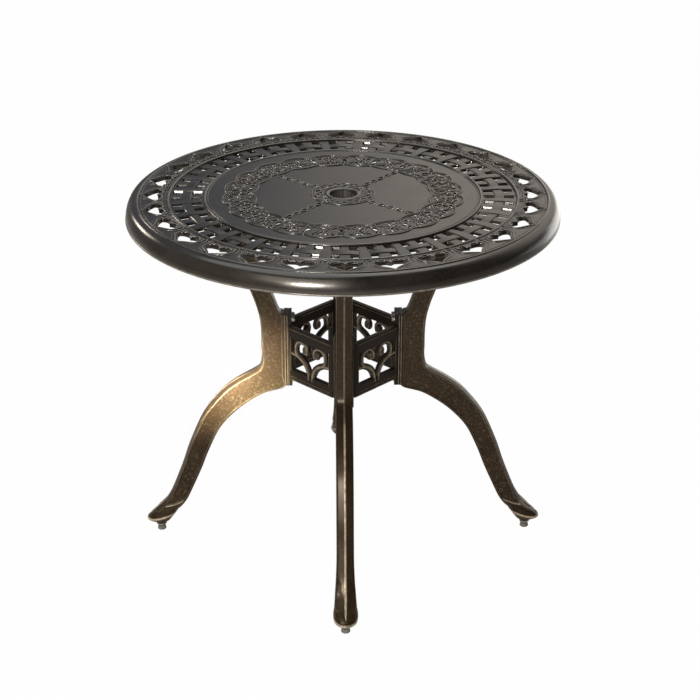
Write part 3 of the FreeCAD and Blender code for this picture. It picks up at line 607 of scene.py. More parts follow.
def arch_relief():
    """Raised lines of one arch: its outline, the scrolls of its base and the leaf."""
    keel = [(ARCH_TIP + 4.5, 0), (ARCH_TIP + 0.4, 3.2), (ARCH_TIP - 4.6, 9.0), (ARCH_TIP - 9.5, 16.5),
            (ARCH_TIP - 14.0, 23.5), (ARCH_TIP - 19.5, 28.8), (ARCH_BASE + 6, 30.6), (ARCH_BASE, 29.6)]
    half_keel = smooth(keel, 3).tolist()
    shape = moulding(mirrored(half_keel[1:]) + half_keel, 3.0, 1.3)
    fine = [(ARCH_TIP + 6.5, 5.5), (ARCH_TIP + 0.8, 12.0), (ARCH_TIP - 5.0, 20.0),
            (ARCH_TIP - 11.0, 28.5), (ARCH_BASE + 13.0, 34.6)]
    scroll = [(ARCH_BASE + 7, 0), (ARCH_BASE + 2.5, 2.8), (ARCH_BASE - 2.8, 7.5),
              (ARCH_BASE - 4.4, 14), (ARCH_BASE - 2.2, 19), (ARCH_BASE + 1.4, 21.5)]
    scroll = smooth(scroll, 5)
    thin = np.interp(np.linspace(0, 1, len(scroll)), [0, 0.2, 0.8, 1], [0.4, 1, 1, 0.6])
    for side in (1, -1):
        flip = np.array([1, side])
        shape.join(moulding(smooth(fine, 4) * flip, 1.2, 0.6))
        shape.join(moulding(scroll * flip, 3.6, 1.7, taper=thin))
        eye = circle(ARCH_BASE - 2, side * ARCH_EYE, 3.7, 16)
        shape.join(moulding(eye, 3.2, 1.9, closed=True))
    leaf = [(ARCH_BASE + reach, 0) for reach in (-7, -2, 2, 5)]
    return shape.join(moulding(leaf, 4.6, 1.8, taper=[0.3, 1, 0.8, 0.2]))


def spandrel_relief():
    """A bud between the feet of two arches, over a small hoop."""
    bud = [(ARCH_BASE + reach, 0) for reach in (-1, 3, 8, 15)]
    widths, heights = [0.4, 1, 0.6, 0.15], [0.5, 1, 0.8, 0.3]
    shape = sweep(bud, bead_section(5.0, 1.6), PLATE_TOP, widths=widths, heights=heights)
    half_hoop = [(ARCH_BASE - 5.2, 4.5), (ARCH_BASE - 11, 7)]
    hoop = mirrored(half_hoop) + [(ARCH_BASE - 3.0, 0)] + half_hoop
    return shape.join(moulding(smooth(hoop, 5), 2.6, 1.4))


def arch_ring():
    """The pierced ring of arches, from the lattice bead out to the rim."""
    between = 270 + 180 / ARCHES
    loops = [circle(0, 0, RIM_FLAT - 2, 360), circle(0, 0, OUTER_BEAD - 2, 360)]
    eyes = [circle(ARCH_BASE - 2, side * ARCH_EYE, 2.3, 12) for side in (1, -1)]
    loops += turn_loops([arch_opening()] + eyes, ARCHES, 270)
    triangle = [(ARCH_BASE - 5.5, 0), (ARCH_BASE - 10.6, 4.2), (ARCH_BASE - 10.6, -4.2)]
    loops += turn_loops([triangle], ARCHES, between)
    shape = pierced(loops, ARCH_UNDER, PLATE_TOP)
    shape.join(all_round(arch_relief(), ARCHES, 270), all_round(spandrel_relief(), ARCHES, between))
    shape.join(ring_bead(OUTER_BEAD, 6, BEAD_HEIGHT), ring_bead(OUTER_BEAD + 5.2, 1.6, 0.6))
    return shape.join(rib(OUTER_BEAD))


# The basket lattice


def column_width(radius):
    """How much of the ring is left between two openings of a row."""
    return 2 * math.pi * radius / COLUMNS - GAP_WIDTH


def strap(start, end, crest):
    """A strap along the radius that widens outwards and swells to a crest in its middle."""
    rows = []
    for share in np.linspace(0, 1, 13):
        radius = start + (end - start) * share
        top = LATTICE_TOP + 0.6 + crest * math.sin(math.pi * share)
        half = (column_width(radius) - 1.2) / 2
        section = strap_section(half, top, 0.7, 1.5 - LATTICE_TOP)
        rows.append([(radius, y, z) for y, z in section])
    # The bevelled shoulders are painted a little lighter, as wear and as highlight.
    shoulder_wear_and_highlight = [0, 0.2, 0, 0, 0.2, 0]
    return skin(rows, np.tile(shoulder_wear_and_highlight, len(rows)))


def gap_outline(row):
    """One opening of a row, with its corners cut; x is the radius."""
    painted_reflection_patch = 1.5
    low, high, half = row - GAP_LENGTH / 2, row + GAP_LENGTH / 2, GAP_WIDTH / 2
    gap = [(high, half - painted_reflection_patch), (high - painted_reflection_patch, half), (low + painted_reflection_patch, half), (low, half - painted_reflection_patch)]
    return gap + mirrored(gap)


def lattice():
    """Two rows of openings between straps that go over and under a band round the top."""
    step = 360 / COLUMNS
    loops = [circle(0, 0, OUTER_BEAD + 3, 360), circle(0, 0, INNER_BEAD - 3, 360)]
    # Each opening is lined by a wedge that narrows it towards the underside
    wall = LATTICE_TOP - PLATE_UNDER
    wedge = [(0.3, 0), (0.3, wall), (0, wall), (-GAP_DRAFT, 0)]
    linings = Shape()
    for row in (OUTER_ROW, INNER_ROW):
        gap = gap_outline(row)
        loops += turn_loops([gap], COLUMNS, 270 + step / 2)
        linings.join(sweep(gap, wedge, PLATE_UNDER, closed=True))
    linings.wear_and_highlight[:] = 0.0
    shape = pierced(loops, PLATE_UNDER, LATTICE_TOP, 0.4)
    shape.join(all_round(linings, COLUMNS, 270 + step / 2))
    # Straps over the band take turns with pairs of straps that end on both sides of it
    inside, outside = INNER_BEAD + 2.5, OUTER_BEAD - 2.5
    band_low, band_high = INNER_ROW + GAP_LENGTH / 2, OUTER_ROW - GAP_LENGTH / 2
    middle = (band_low + band_high) / 2
    over = strap(inside, outside, 1.3)
    under = strap(inside, band_low - 0.8, 0.4).join(strap(band_high + 0.8, outside, 0.4))
    reach = 2 * step - math.degrees((column_width(middle) + 2.0) / middle)
    turns = np.radians(np.linspace(-reach / 2, reach / 2, 13))
    lift = 1.3 * np.sin(np.linspace(0, math.pi, 13))
    path = np.column_stack([middle * np.cos(turns), middle * np.sin(turns), LATTICE_TOP + lift])
    under.join(sweep(path, strap_section((band_high - band_low) / 2 - 0.8, 0.6, 0.7, 1.5)))
    under.wear_and_highlight[:] = 0.0
    return shape.join(all_round(over, COLUMNS // 2, 270 + step), all_round(under, COLUMNS // 2, 270))


# The ring of flowers


def flower_loops():
    """Openings of one flower, between its petals and beside it; x is the radius."""
    loops = []
    for fan in (0, 180):
        for lean in PETAL_GAPS:
            turn = math.radians(fan + lean)
            reach = 14.5 if abs(lean) < 40 else 12.5
            x, y = FLOWER_RADIUS + reach * math.cos(turn), reach * math.sin(turn)
            loops.append(lens_loop(x, y, 11, 3.8, fan + lean, 4))
    for side in (1, -1):
        for ring in (1, -1):
            place = (FLOWER_RADIUS + ring * 20.5, side * 15.5)
            loops.append(lens_loop(*place, 10, 4.6, 90 - side * ring * 38))
    return loops


def between_loops():
    """Openings on the line between two flowers: a lens and two round eyes."""
    eyes = [circle(FLOWER_RADIUS + ring * EYE_REACH, 0, EYE_RADIUS, 16) for ring in (1, -1)]
    return [lens_loop(FLOWER_RADIUS, 0, 16, 7.5, 0)] + eyes


def flower_relief():
    """One flower: a ringed eye, two fans of long petals and a curl on each side."""
    shape = button(FLOWER_RADIUS, 0, 2.8, 1.9, PLATE_TOP)
    shape.join(moulding(circle(FLOWER_RADIUS, 0, 4.9, 20), 1.8, 1.5, closed=True))
    taper = [0.5, 0.8, 1, 1, 0.8, 0.4]
    for fan in (0, 180):
        for lean in PETAL_LEANS:
            turn = math.radians(fan + lean)
            far = 22.5 if lean == 0 else 20.5
            reaches = np.linspace(6.5, far, 6)
            points = [(FLOWER_RADIUS + reach * math.cos(turn), reach * math.sin(turn)) for reach in reaches]
            shape.join(moulding(points, 3.8, 1.8, taper=taper))
    for side in (1, -1):
        curl = [(16, 18.5), (9.5, 12.5), (0, 9.8), (-9.5, 12.5), (-16, 18.5)]
        course = [(FLOWER_RADIUS + x, side * y) for x, y in curl]
        shape.join(moulding(smooth(course, 5), 2.8, 1.7))
        shape.join(button(FLOWER_RADIUS, side * 15.5, 3.2, 1.6, PLATE_TOP))
    return shape


def between_relief():
    """Raised lips round the openings between two flowers."""
    shape = moulding(lens_loop(FLOWER_RADIUS, 0, 20, 11, 0), 2.0, 1.4, closed=True)
    for ring in (1, -1):
        lip = circle(FLOWER_RADIUS + ring * EYE_REACH, 0, EYE_RADIUS + 1.5, 20)
        shape.join(moulding(lip, 2.4, 1.6, closed=True))
    return shape


def scallop(base, lobe, width, height, steps=18):
    """A wavy bead round the ring: one lobe over each flower, with notches between them."""
    course = []
    for step in range(FLOWERS * steps):
        share = step / steps
        radius = base + lobe * abs(math.sin(math.pi * share)) ** 0.75
        angle = math.radians(FLOWER_START + (share - 0.5) * 360 / FLOWERS)
        course.append((radius * math.cos(angle), radius * math.sin(angle)))
    edging = moulding(course, width, height, closed=True)
    edging.wear_and_highlight *= 0.35
    return edging


def bosses():
    """The bosses under the plate that one leg is bolted to."""
    shape = Shape()
    for side in (1, -1):
        ring = circle(FIX_RADIUS, side * FIX_OFFSET, 8, 24)
        shape.join(skin([[(x, y, z) for x, y in ring] for z in (PLATE_UNDER - 10, PLATE_UNDER + 0.5)]))
    return shape


def flower_band():
    """The ring of flowers between the lattice and the plain fields."""
    between = FLOWER_START + 180 / FLOWERS
    outside = circle(0, 0, INNER_BEAD + 1, 300)
    ring = [outside, circle(0, 0, BAND_INSIDE, 240)]
    ring += turn_loops(flower_loops(), FLOWERS, FLOWER_START)
    ring += turn_loops(between_loops(), FLOWERS, between)
    shape = pierced(ring, BAND_UNDER, PLATE_TOP, 0.5)
    shape.join(pierced([outside, circle(0, 0, 223, 240)], PLATE_UNDER, PLATE_TOP - 1, 0.5))
    shape.join(all_round(flower_relief(), FLOWERS, FLOWER_START))
    shape.join(all_round(between_relief(), FLOWERS, between))
    shape.join(scallop(211.0, 11.5, 4.2, 2.0), scallop(207.5, 10.5, 1.8, 1.0))
    shape.join(scallop(169.0, -8.0, 4.0, 2.0), scallop(172.5, -7.0, 1.8, 1.0))
    shape.join(ring_bead(INNER_BEAD, 6, BEAD_HEIGHT), ring_bead(INNER_BEAD - 5.5, 1.8, 0.7))
    return shape.join(rib(INNER_BEAD), all_round(bosses(), len(LEG_ANGLES)))


# The middle: plain fields, rope arms and the twisted hub


def rope_loops():
    """Openings of one rope arm; x is the radius."""
    return [slot_loop(ROPE_FIRST + link * ROPE_PITCH, 0, 12, 4.5, 0) for link in range(ROPE_LINKS)]


def rope_relief():
    """Two strands that cross between the openings of an arm."""
    radii = np.linspace(58, 158, 81)
    turn = math.pi * (radii - ROPE_FIRST) / ROPE_PITCH
    shape = Shape()
    for side in (1, -1):
        lift = PLATE_TOP + 0.1 + side * 0.4 * np.sin(2 * turn)
        path = np.column_stack([radii, side * 4.6 * np.cos(turn), lift])
        shape.join(moulding(path, 3.4, 1.4))
    return shape


def hub_loops():
    """One eye and one long opening of the twisted ring."""
    half_step = 180 / TWIST_COUNT
    angle = math.radians(half_step)
    reach = TWIST_RADIUS + 4
    slot = slot_loop(reach * math.cos(angle), reach * math.sin(angle), 17, 4.5, half_step + 90)
    return [circle(TWIST_RADIUS - 4, 0, 2.5, 14), slot]


def hub_relief():
    """Two strands that wind round the hub, and the rings beside them."""
    shape = Shape()
    turns = np.arange(240) * 2 * math.pi / 240
    phase = TWIST_COUNT * (turns - math.radians(TWIST_START))
    for side in (1, -1):
        radii = TWIST_RADIUS + side * 5.6 * np.cos(phase)
        lift = PLATE_TOP + 0.1 + side * 0.4 * np.sin(2 * phase)
        path = np.column_stack([radii * np.cos(turns), radii * np.sin(turns), lift])
        shape.join(moulding(path, 3.6, 1.4, closed=True))
    return shape.join(ring_bead(38.5, 3.0, 1.5, steps=120), ring_bead(57.5, 3.0, 1.5, steps=160))


def sleeve():
    """The umbrella sleeve with its raised lip."""
    outer = UMBRELLA_HOLE + 8
    lip_end = UMBRELLA_HOLE + 10
    crown = (UMBRELLA_HOLE + 4.5, TABLE_HEIGHT)
    lip = arc((UMBRELLA_HOLE, PLATE_TOP + 0.5), crown, (lip_end, PLATE_TOP - 0.6), 9)
    wall = [(lip_end, PLATE_TOP - 2), (outer, PLATE_UNDER), (outer, SLEEVE_LOW + 1.5),
            (outer - 1.5, SLEEVE_LOW), (UMBRELLA_HOLE + 1, SLEEVE_LOW), (UMBRELLA_HOLE, SLEEVE_LOW + 1)]
    wear_and_highlight = [0, 0, 0.3, 1.0, 0.6, 0.1, 0, 0, 0] + [0] * len(wall)
    return revolve(lip + wall, 96, wear_and_highlight)


def centre():
    """The plain fields with their rope arms, the twisted hub and the umbrella sleeve."""
    disc = [circle(0, 0, BAND_INSIDE + 2, 240), circle(0, 0, UMBRELLA_HOLE + 2, 96)]
    disc += turn_loops(rope_loops(), ARMS, ROPE_START)
    disc += turn_loops(hub_loops(), TWIST_COUNT, TWIST_START)
    shape = pierced(disc, PLATE_UNDER, PLATE_TOP, 0.6)
    return shape.join(all_round(rope_relief(), ARMS, ROPE_START), hub_relief(), sleeve())


top_shapes = {"rim": rim, "arches": arch_ring, "lattice": lattice, "flowers": flower_band, "centre": centre}
for word, make_shape in top_shapes.items():
    make_piece(f"top_{word}", make_shape(), top_coat, "tabletop")


# The legs, drawn with their foot towards +X and then turned into place

LEG_BORDER = 5
LEG_SUNK = 2.6
HAMMER_CELL = 3.4
RIDGE_SHARE = 0.14
LEG_STATIONS = (
    # Outer edge (radius, height), inner edge and half width, from the top of a leg to its toe
    ((257, 692), (220, 692), 14.2),
    ((233, 641), (196, 651), 14.2),
    ((195, 567), (158, 583), 14.2),
    ((173, 513), (135, 520), 14.3),
    ((164, 485), (121, 481), 14.4),
    ((159, 462), (112, 474), 14.5),
    ((157, 434), (112, 440), 14.7),
    ((157, 406), (112, 408), 14.9),
    ((157, 384), (112, 376), 15.1),
    ((162, 364), (112, 346), 15.3),
    ((176, 353), (112, 324), 15.4),
    ((203, 337), (151, 311), 15.5),
    ((230, 317), (187, 289), 15.5),
    ((256, 288), (216, 264), 15.5),
    ((277, 257), (241, 233), 15.5),
    ((302, 199), (262.5, 187.5), 15.5),
    ((317, 155), (278.5, 146), 15.5),
    ((330, 121), (294, 110), 15.7),
    ((342.5, 91), (309, 78), 17.0),
    ((354.5, 70), (323, 60), 18.6),
    ((365, 58), (337, 51), 19.2),
    ((375, 48.3), (343, 41), 17.0),
    ((383, 40), (349, 35), 11.0),
    ((388, 34.5), (353, 31), 6.0),
    ((389, 31), (355, 29), 3.0),
)
FOOT_RINGS = (
    # Heel and toe radius, half width, height at the toe and at the heel, squareness, how much it is painted
    # lighter as wear and highlight
    (356.0, 376.0, 10.0, 15.0, 15.0, 2.0, 0.0),
    (354.5, 377.5, 11.5, 18.0, 18.5, 2.0, 0.0),
    (348.5, 382.5, 15.8, 20.8, 22.5, 2.1, 0.0),
    (341.5, 389.0, 20.2, 23.6, 32.0, 2.2, 0.0),
    (336.5, 392.6, 22.3, 25.4, 39.3, 2.3, 0.2),
    (333.8, 393.8, 22.9, 27.2, 43.0, 2.3, 1.0),
    (331.6, 393.2, 22.5, 29.0, 46.2, 2.3, 1.0),
    (330.2, 390.6, 21.7, 30.8, 48.6, 2.35, 0.0),
    (327.9, 386.4, 21.0, 36.0, 52.5, 2.5, 0.0),
    (325.4, 380.6, 20.5, 41.5, 56.5, 2.7, 0.0),
    (322.9, 373.2, 19.9, 47.5, 61.0, 2.9, 0.0),
    (321.5, 364.8, 18.6, 54.0, 66.0, 3.1, 0.0),
    (322.0, 356.0, 15.6, 61.0, 71.0, 3.2, 0.0),
)


def leg_rows(step_length=1.4):
    """Matched points on the outer and inner edge and the half width, and how far along each lies."""
    keys = np.array([(*outer, *inner, half) for outer, inner, half in LEG_STATIONS], float)
    fine = smooth(keys, 40)
    middle = (fine[:, :2] + fine[:, 2:4]) / 2
    lengths = np.concatenate([[0], np.cumsum(np.linalg.norm(np.diff(middle, axis=0), axis=1))])
    along = np.linspace(0, lengths[-1], int(lengths[-1] / step_length))
    return np.column_stack([np.interp(along, lengths, column) for column in fine.T]), along


def hammer(x, z, side):
    """Height of the hammered skin at a place on the side of a leg: dents that meet in ridges."""
    place = Vector((x / HAMMER_CELL, z / HAMMER_CELL, 7.0 * side))
    wobble = 0.25 * noise.noise(place * 0.9)
    return 0.8 * noise.voronoi(place)[0][0] ** 1.4 - 0.2 + wobble


def roof(share):
    """Drop from the ridge of a leg's outer face, at a share of its half width."""
    slope, arris = 3.0, 0.7
    if abs(share) < RIDGE_SHARE:
        return slope * RIDGE_SHARE / 2 * (1 + (share / RIDGE_SHARE) ** 2)
    return slope * abs(share) + (arris if abs(share) > 0.98 else 0.0)


def field_end(share, whole):
    """How far down a leg its hammered field reaches: low at the outer edge, higher at the inner one."""
    toe, slant = 36, 36
    return whole - toe - slant * (1 - share) ** 2


def leg_section(width, half, height):
    """One cross-section: (place across the leg, beside it, how much it is painted lighter as wear and
    highlight, side that is hammered).
    """
    half_face = [0.07, RIDGE_SHARE, 0.2, 0.3, 0.5, 0.75, 0.95, 1]
    # The ridge is rubbed bare and painted with its highlight line below the knee, and at the foot only a
    # tongue of the face stands up
    ridge_wear_and_highlight = 1.0 - 0.75 * float(fade(height, 325, 350))
    foot_share = float(fade(height, 112, 88))
    tongue = np.interp(height, [34, 100], [0.5, 15.5])
    section = []
    for share in [-place for place in reversed(half_face)] + [0] + half_face:
        off_tongue = foot_share * float(fade(abs(share * half), tongue - 1.2, tongue + 0.8))
        wear_and_highlight = ridge_wear_and_highlight if abs(share) < 0.1 else 0.2 * (abs(share) > 0.97)
        section.append((width - roof(share) - 1.3 * off_tongue, share * half, wear_and_highlight, 0))
    edge = LEG_BORDER + 1.3
    field = [width - edge - 0.6, *np.linspace(width - edge - 1.6, edge + 1, 25), edge]
    side = [(width - 5.2, 0.4, 0.1, 0), (width - LEG_BORDER - 0.6, 0.0, 0.35, 0)]
    side += [(place, 0.0, 0.0, 1) for place in field]
    side += [(LEG_BORDER, 0.0, 0.15, 0), (3.0, 0.4, 0.0, 0)]
    section += [(place, half + lift, wear_and_highlight, mark) for place, lift, wear_and_highlight, mark in side]
    section += [(1.4 * share**2, share * half, 0.0, 0) for share in (1, 0.8, 0.4, 0, -0.4, -0.8, -1)]
    section += [(place, -half - lift, wear_and_highlight, -mark) for place, lift, wear_and_highlight, mark in reversed(side)]
    return section


def leg_body():
    """A cabriole leg: ridged outer face, and hammered fields sunk between raised borders."""
    rows, along = leg_rows()
    body, wear_and_highlight = [], []
    for (outer_r, outer_z, inner_r, inner_z, half), distance in zip(rows, along):
        across = np.array([outer_r - inner_r, outer_z - inner_z])
        width = np.linalg.norm(across)
        across /= width
        ring = []
        for place, beside, rubbed_and_highlit, mark in leg_section(width, half, outer_z):
            x = inner_r + across[0] * place
            z = inner_z + across[1] * place
            if mark:
                end = field_end(place / width, along[-1])
                inside = float(fade(distance, 14, 22) * (1 - fade(distance, end - 6, end)))
                border = float(fade(distance, end - 5, end - 1) * (1 - fade(distance, end - 1, end + 4)))
                dent = hammer(x, z, mark) * inside
                beside += mark * (dent - LEG_SUNK * inside + 0.5 * border)
                # The borders and the crests of the dents are painted lighter, partly as wear and partly as
                # highlight.
                rubbed_and_highlit = max(0.12 * float(fade(dent, 0.1, 0.6)) * inside, 0.6 * border)
            ring.append((x, beside, z))
            wear_and_highlight.append(rubbed_and_highlit)
        body.append(ring)
    return skin(body, np.array(wear_and_highlight))


def leg_foot():
    """The spoon-shaped foot: a thin rim that climbs to the heel, over a neck for the levelling stud."""
    steps = 56
    rows, wear_and_highlight = [], []
    for heel, toe, half, toe_height, heel_height, squareness, rubbed_and_highlit in smooth(FOOT_RINGS, 3):
        middle, reach = (heel + toe) / 2, (toe - heel) / 2
        row = []
        for cos, sin in circle(0, 0, 1, steps):
            ahead = math.copysign(abs(cos) ** (2 / squareness), cos)
            beside = math.copysign(abs(sin) ** (2 / squareness), sin)
            climb = ((1 - ahead) / 2) ** 1.3
            height = toe_height + (heel_height - toe_height) * climb
            row.append((middle + reach * ahead, half * beside, height))
        rows.append(row)
        # The rim ring is painted light, as wear and as its highlight line.
        wear_and_highlight += [min(1.0, max(0.0, rubbed_and_highlit))] * steps
    return skin(rows, np.array(wear_and_highlight))


def leg_pad():
    """The pad that bolts a leg to the bosses under the top."""
    half_length, half_width = 22, FIX_OFFSET + 10
    low = (FIX_RADIUS - half_length, -half_width, 691)
    high = (FIX_RADIUS + half_length, half_width, 697)
    return block(low, high, 1.2)


def leg_seat():
    """The strip that the panels are bolted to, darkened as painted shade, with fine raised lines along its
    sides.
    """
    half = 18
    seat = block((SEAT_FACE, -half, SEAT_LOW), (113.2, half, SEAT_HIGH), 1.2)
    for side in (1, -1):
        for radius in (106.5, 111.0):
            low = (radius - 0.8, side * half - 0.5, SEAT_LOW + 1)
            high = (radius + 0.8, side * half + 0.5, SEAT_HIGH - 1)
            line = block(low, high, 0.4)
            # The fine lines are painted lighter, as wear and as their highlight.
            line.wear_and_highlight[:] = 0.5
            seat.join(line)
    return seat


leg_shape = leg_body().join(leg_foot(), leg_pad())
seat_shape = leg_seat()
for leg_name, degrees in LEG_ANGLES.items():
    node = f"leg_{leg_name}"
    turned = leg_shape.moved(spun(degrees))
    make_piece(f"cast_{node}", turned, leg_coat, node, crease=50, flat=False)
    make_piece(f"seat_{node}", seat_shape.moved(spun(degrees)), shaded_panel_coat, node)


# The scroll panels, drawn flat: x runs across the panel, y up and z out of its face

PANEL_FACE = 120 * math.sqrt(0.5)
PANEL_BASE = 345
PANEL_TOP = 456
PANEL_DEPTH = 10
RAIL = 23
WINDOW_HALF = 49.5
WINDOW_LOW = PANEL_BASE + RAIL
WINDOW_HIGH = PANEL_TOP - RAIL


def both_faces(shape):
    """A shape on the front of a panel and its mirror image on the back."""
    return shape.join(shape.moved(Matrix.Diagonal((1, 1, -1, 1))))


def upright(half, low, high):
    """Closed outline of a rectangle across the middle line of a panel."""
    return [(-half, low), (half, low), (half, high), (-half, high)]


def panel_frame():
    """Rails and stiles round the window, cut to meet the legs' strips, with fine raised lines."""
    reach = SEAT_FACE * math.sqrt(2) - PANEL_FACE
    outlines = [upright(reach, PANEL_BASE, PANEL_TOP), upright(WINDOW_HALF, WINDOW_LOW, WINDOW_HIGH)]
    shape = pierced(outlines, -PANEL_DEPTH / 2, PANEL_DEPTH / 2, 1.2)
    ends = np.abs(shape.points[:, 0]) > WINDOW_HALF + 3
    shape.points[ends, 0] -= np.sign(shape.points[ends, 0]) * shape.points[ends, 2]
    lines = Shape()
    for side in (1, -1):
        x = side * (WINDOW_HALF + 1.6)
        stile = [(x, WINDOW_LOW - 1), (x, WINDOW_HIGH + 1)]
        lines.join(sweep(stile, bead_section(2.4, 1.5), PANEL_DEPTH / 2 - 0.4))
    for height in (PANEL_BASE + 3.5, PANEL_BASE + 8.5, PANEL_TOP - 4):
        rail = [(-WINDOW_HALF - 3, height), (WINDOW_HALF + 3, height)]
        lines.join(sweep(rail, bead_section(2.2, 0.9), PANEL_DEPTH / 2 - 0.2))
    # The fine lines are painted lighter, as wear and as their highlight.
    lines.wear_and_highlight *= 0.5
    return shape.join(both_faces(lines))


def panel_scrolls():
    """In each half of the window a stem that swings out and curls over to a round eye."""
    stem = [(5.0, -8), (5.2, 0), (7.0, 9), (12.5, 19), (21.5, 27), (32.0, 32.5), (38.3, 39), (39.3, 48),
            (36.8, 57), (30.8, 63), (23.0, 64.5), (15.5, 62), (10.2, 56), (8.6, 48.5), (10.4, 42)]
    widths = [0.75, 0.95, 1.15, 1.2, 1.15, 1.05, 0.92, 0.9, 0.9, 0.9, 0.9, 0.85, 0.8, 0.7, 0.5]
    course = smooth(np.column_stack([stem, widths]), 6)
    spur = np.array([(31, 32), (38, 33.5), (45, 34.5), (52, 35)])
    eye_x, eye_y = 14.2, 49.2
    turns = np.linspace(0.3, 2 * math.pi - 0.4, 26)
    coil = np.column_stack([eye_x + 5.6 * np.cos(turns), eye_y + 5.6 * np.sin(turns)])
    section = roof_section(11, 2.4, 5.4)
    base = np.array([0, WINDOW_LOW])
    shape = Shape()
    for side in (1, -1):
        flip = np.array([side, 1])
        shape.join(sweep(course[:, :2] * flip + base, section, widths=course[:, 2]))
        shape.join(sweep(spur * flip + base, section, widths=[1.0, 0.9, 0.85, 0.9]))
        eye = button(side * eye_x, WINDOW_LOW + eye_y, 9.2, 5.2, 0.0, 28, 6)
        eye.wear_and_highlight *= 0.25
        eye.join(sweep(coil * flip + base, bead_section(2.2, 1.3), 3.9))
        shape.join(both_faces(eye))
    return shape


def panel_ears():
    """The ears that are bolted to the strips of the two legs."""
    shape = Shape()
    for side in (1, -1):
        low_side, high_side = sorted((-side * 1, -side * 18))
        ear = block((SEAT_FACE - 6, low_side, SEAT_LOW), (SEAT_FACE, high_side, SEAT_HIGH), 1.0)
        shape.join(ear.moved(spun(side * 45)))
    return shape


standing = Matrix(((0, 0, 1, PANEL_FACE), (1, 0, 0, 0), (0, 1, 0, 0), (0, 0, 0, 1)))
panel_shape = panel_frame().join(panel_scrolls()).moved(standing).join(panel_ears())
for panel_name, degrees in PANEL_ANGLES.items():
    node = f"panel_{panel_name}"
    turned = panel_shape.moved(spun(degrees))
    make_piece(f"cast_{node}", turned, shaded_panel_coat, node)


# The fittings keep their own shapes

fittings = {"bolts": zinc, "washers": zinc, "inserts": zinc, "foot_stud": stud_zinc, "foot_pad": nylon}
for node_name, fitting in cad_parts.items():
    for word, material in fittings.items():
        if word in node_name:
            fitting.data.materials.clear()
            fitting.data.materials.append(material)


# Studio


def make_floor():
    """A pale floor: white with a soft shadow to the camera, and a painted reflection: a glow behind the
    right that only mirrors see.
    """
    bpy.ops.mesh.primitive_plane_add(size=30)
    floor = bpy.context.object
    floor.name = "floor"
    recipe = Recipe(bpy.data.materials.new("floor_paper"))
    paper = recipe.node("BsdfPrincipled", {"Base Color": (0.62, 0.61, 0.60), "Roughness": 0.9})[0]
    place = recipe.axes("Object")
    # Behind the right the floor glows in mirrors only, as a painted reflection.
    right = recipe.ranged(place["X"], 0.2, 1.1, kind="SMOOTHSTEP")
    behind = recipe.ranged(place["Y"], 0.8, 1.8, kind="SMOOTHSTEP")
    mirrored_ray = recipe.node("LightPath")["Is Glossy Ray"]
    painted_reflection_patch = recipe.maths("MULTIPLY", recipe.maths("MULTIPLY", right, behind), mirrored_ray)
    seen = recipe.maths("MULTIPLY", recipe.seen_directly(), 0.985)
    glow = recipe.node("Emission", {"Color": (1, 1, 1)})[0]
    blend = {0: recipe.maths("MAXIMUM", seen, painted_reflection_patch), 1: paper, 2: glow}
    floor.data.materials.append(recipe.finish("MixShader", blend))


def make_world():
    """White to the camera. To all else a dim room, its back wall cool on the left and warm on the right."""
    recipe = Recipe(bpy.data.worlds.new("studio"))
    direction = recipe.axes("Generated")
    right = recipe.ranged(direction["X"], -0.075, 0.085, kind="SMOOTHSTEP")
    behind = recipe.ranged(direction["Y"], -0.2, 0.7, kind="SMOOTHSTEP")
    above = recipe.ranged(direction["Z"], 0.08, 0.34, kind="SMOOTHSTEP")
    wall = recipe.mixed(right, (0.20, 0.215, 0.25), (0.96, 0.89, 0.79))
    back = recipe.mixed(above, (0.14, 0.14, 0.15), wall)
    front = recipe.mixed(right, (0.30, 0.27, 0.23), (0.05, 0.045, 0.04))
    room = recipe.node("Background", {"Color": recipe.mixed(behind, front, back)})[0]
    white = recipe.node("Background", {"Color": (1, 1, 1)})[0]
    blend = {0: recipe.seen_directly(), 1: room, 2: white}
    bpy.context.scene.world = recipe.finish("MixShader", blend)


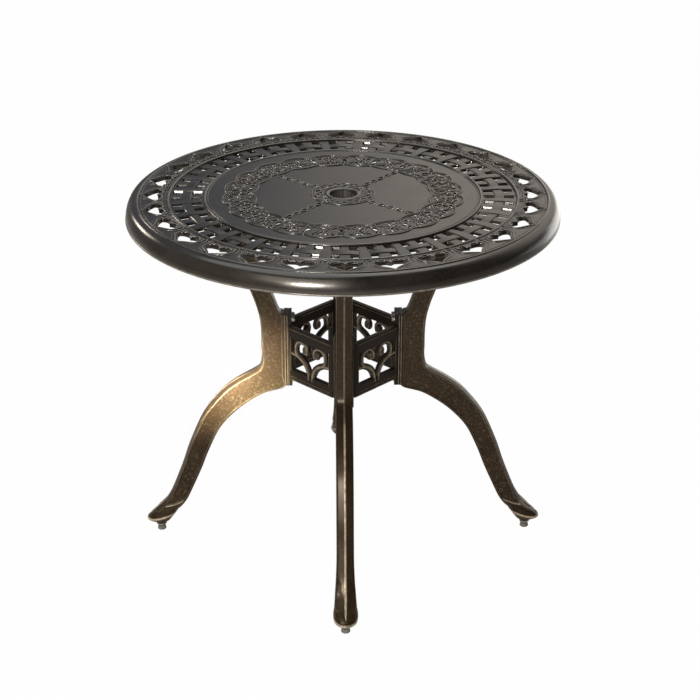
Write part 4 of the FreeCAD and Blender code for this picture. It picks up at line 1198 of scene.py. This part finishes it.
def make_softbox(name, place, target, width, height, brightness, colour=(1, 1, 1), spread=180):
    """An area light whose face has a given brightness, where 1 is white."""
    light = bpy.data.lights.new(name, "AREA")
    light.shape = "RECTANGLE"
    light.size = width
    light.size_y = height
    light.energy = brightness * math.pi * width * height
    light.color = colour
    light.spread = math.radians(spread)
    lamp = bpy.data.objects.new(name, light)
    lamp.location = place
    lamp.rotation_euler = (Vector(target) - Vector(place)).to_track_quat("-Z", "Y").to_euler()
    lamp.visible_camera = False
    bpy.context.scene.collection.objects.link(lamp)


def make_camera():
    """The photograph's camera, found from the rim, the feet and the outlines of the legs."""
    data = bpy.data.cameras.new("camera")
    data.lens = 85.466
    data.sensor_width = 36
    camera = bpy.data.objects.new("camera", data)
    distance = 2.890
    turned = 0.0115
    camera.location = (-distance * math.sin(turned), -distance * math.cos(turned), 1.760)
    camera.rotation_euler = (math.radians(64.72), -0.0010, -0.0041 - turned)
    bpy.context.scene.collection.objects.link(camera)
    bpy.context.scene.camera = camera


make_floor()
make_world()
make_softbox("overhead", (-0.2, 0.3, 2.3), (0, 0.1, 0.7), 2.4, 1.6, 1.3, (0.95, 0.98, 1))
make_softbox("front", (-0.95, -3.1, 1.45), (0, -0.3, 0.6), 0.6, 0.4, 92, (1, 0.94, 0.86))
make_softbox("front_wide", (-1.3, -2.9, 2.2), (0, -0.3, 0.6), 2.2, 1.5, 1.6, (1, 0.90, 0.78))
make_softbox("left_leg", (-0.9, -1.2, 0.5), (-0.34, 0, 0.38), 0.2, 0.2, 5.0, (1, 0.84, 0.62), spread=14)
make_softbox("left_knee", (-0.85, -1.2, 0.35), (-0.22, 0, 0.353), 0.1, 0.1, 46, (1, 0.84, 0.60), spread=9)
make_softbox("back_left", (-2.0, 1.4, 1.4), (-0.2, 0, 0.37), 0.7, 0.5, 12, (1, 0.90, 0.74))
make_softbox("right_low", (1.3, 1.8, 0.1), (0.3, 0, 0.65), 2.2, 2.0, 1.4, (1, 0.96, 0.88))
make_camera()
bpy.context.scene.view_settings.view_transform = "Standard"
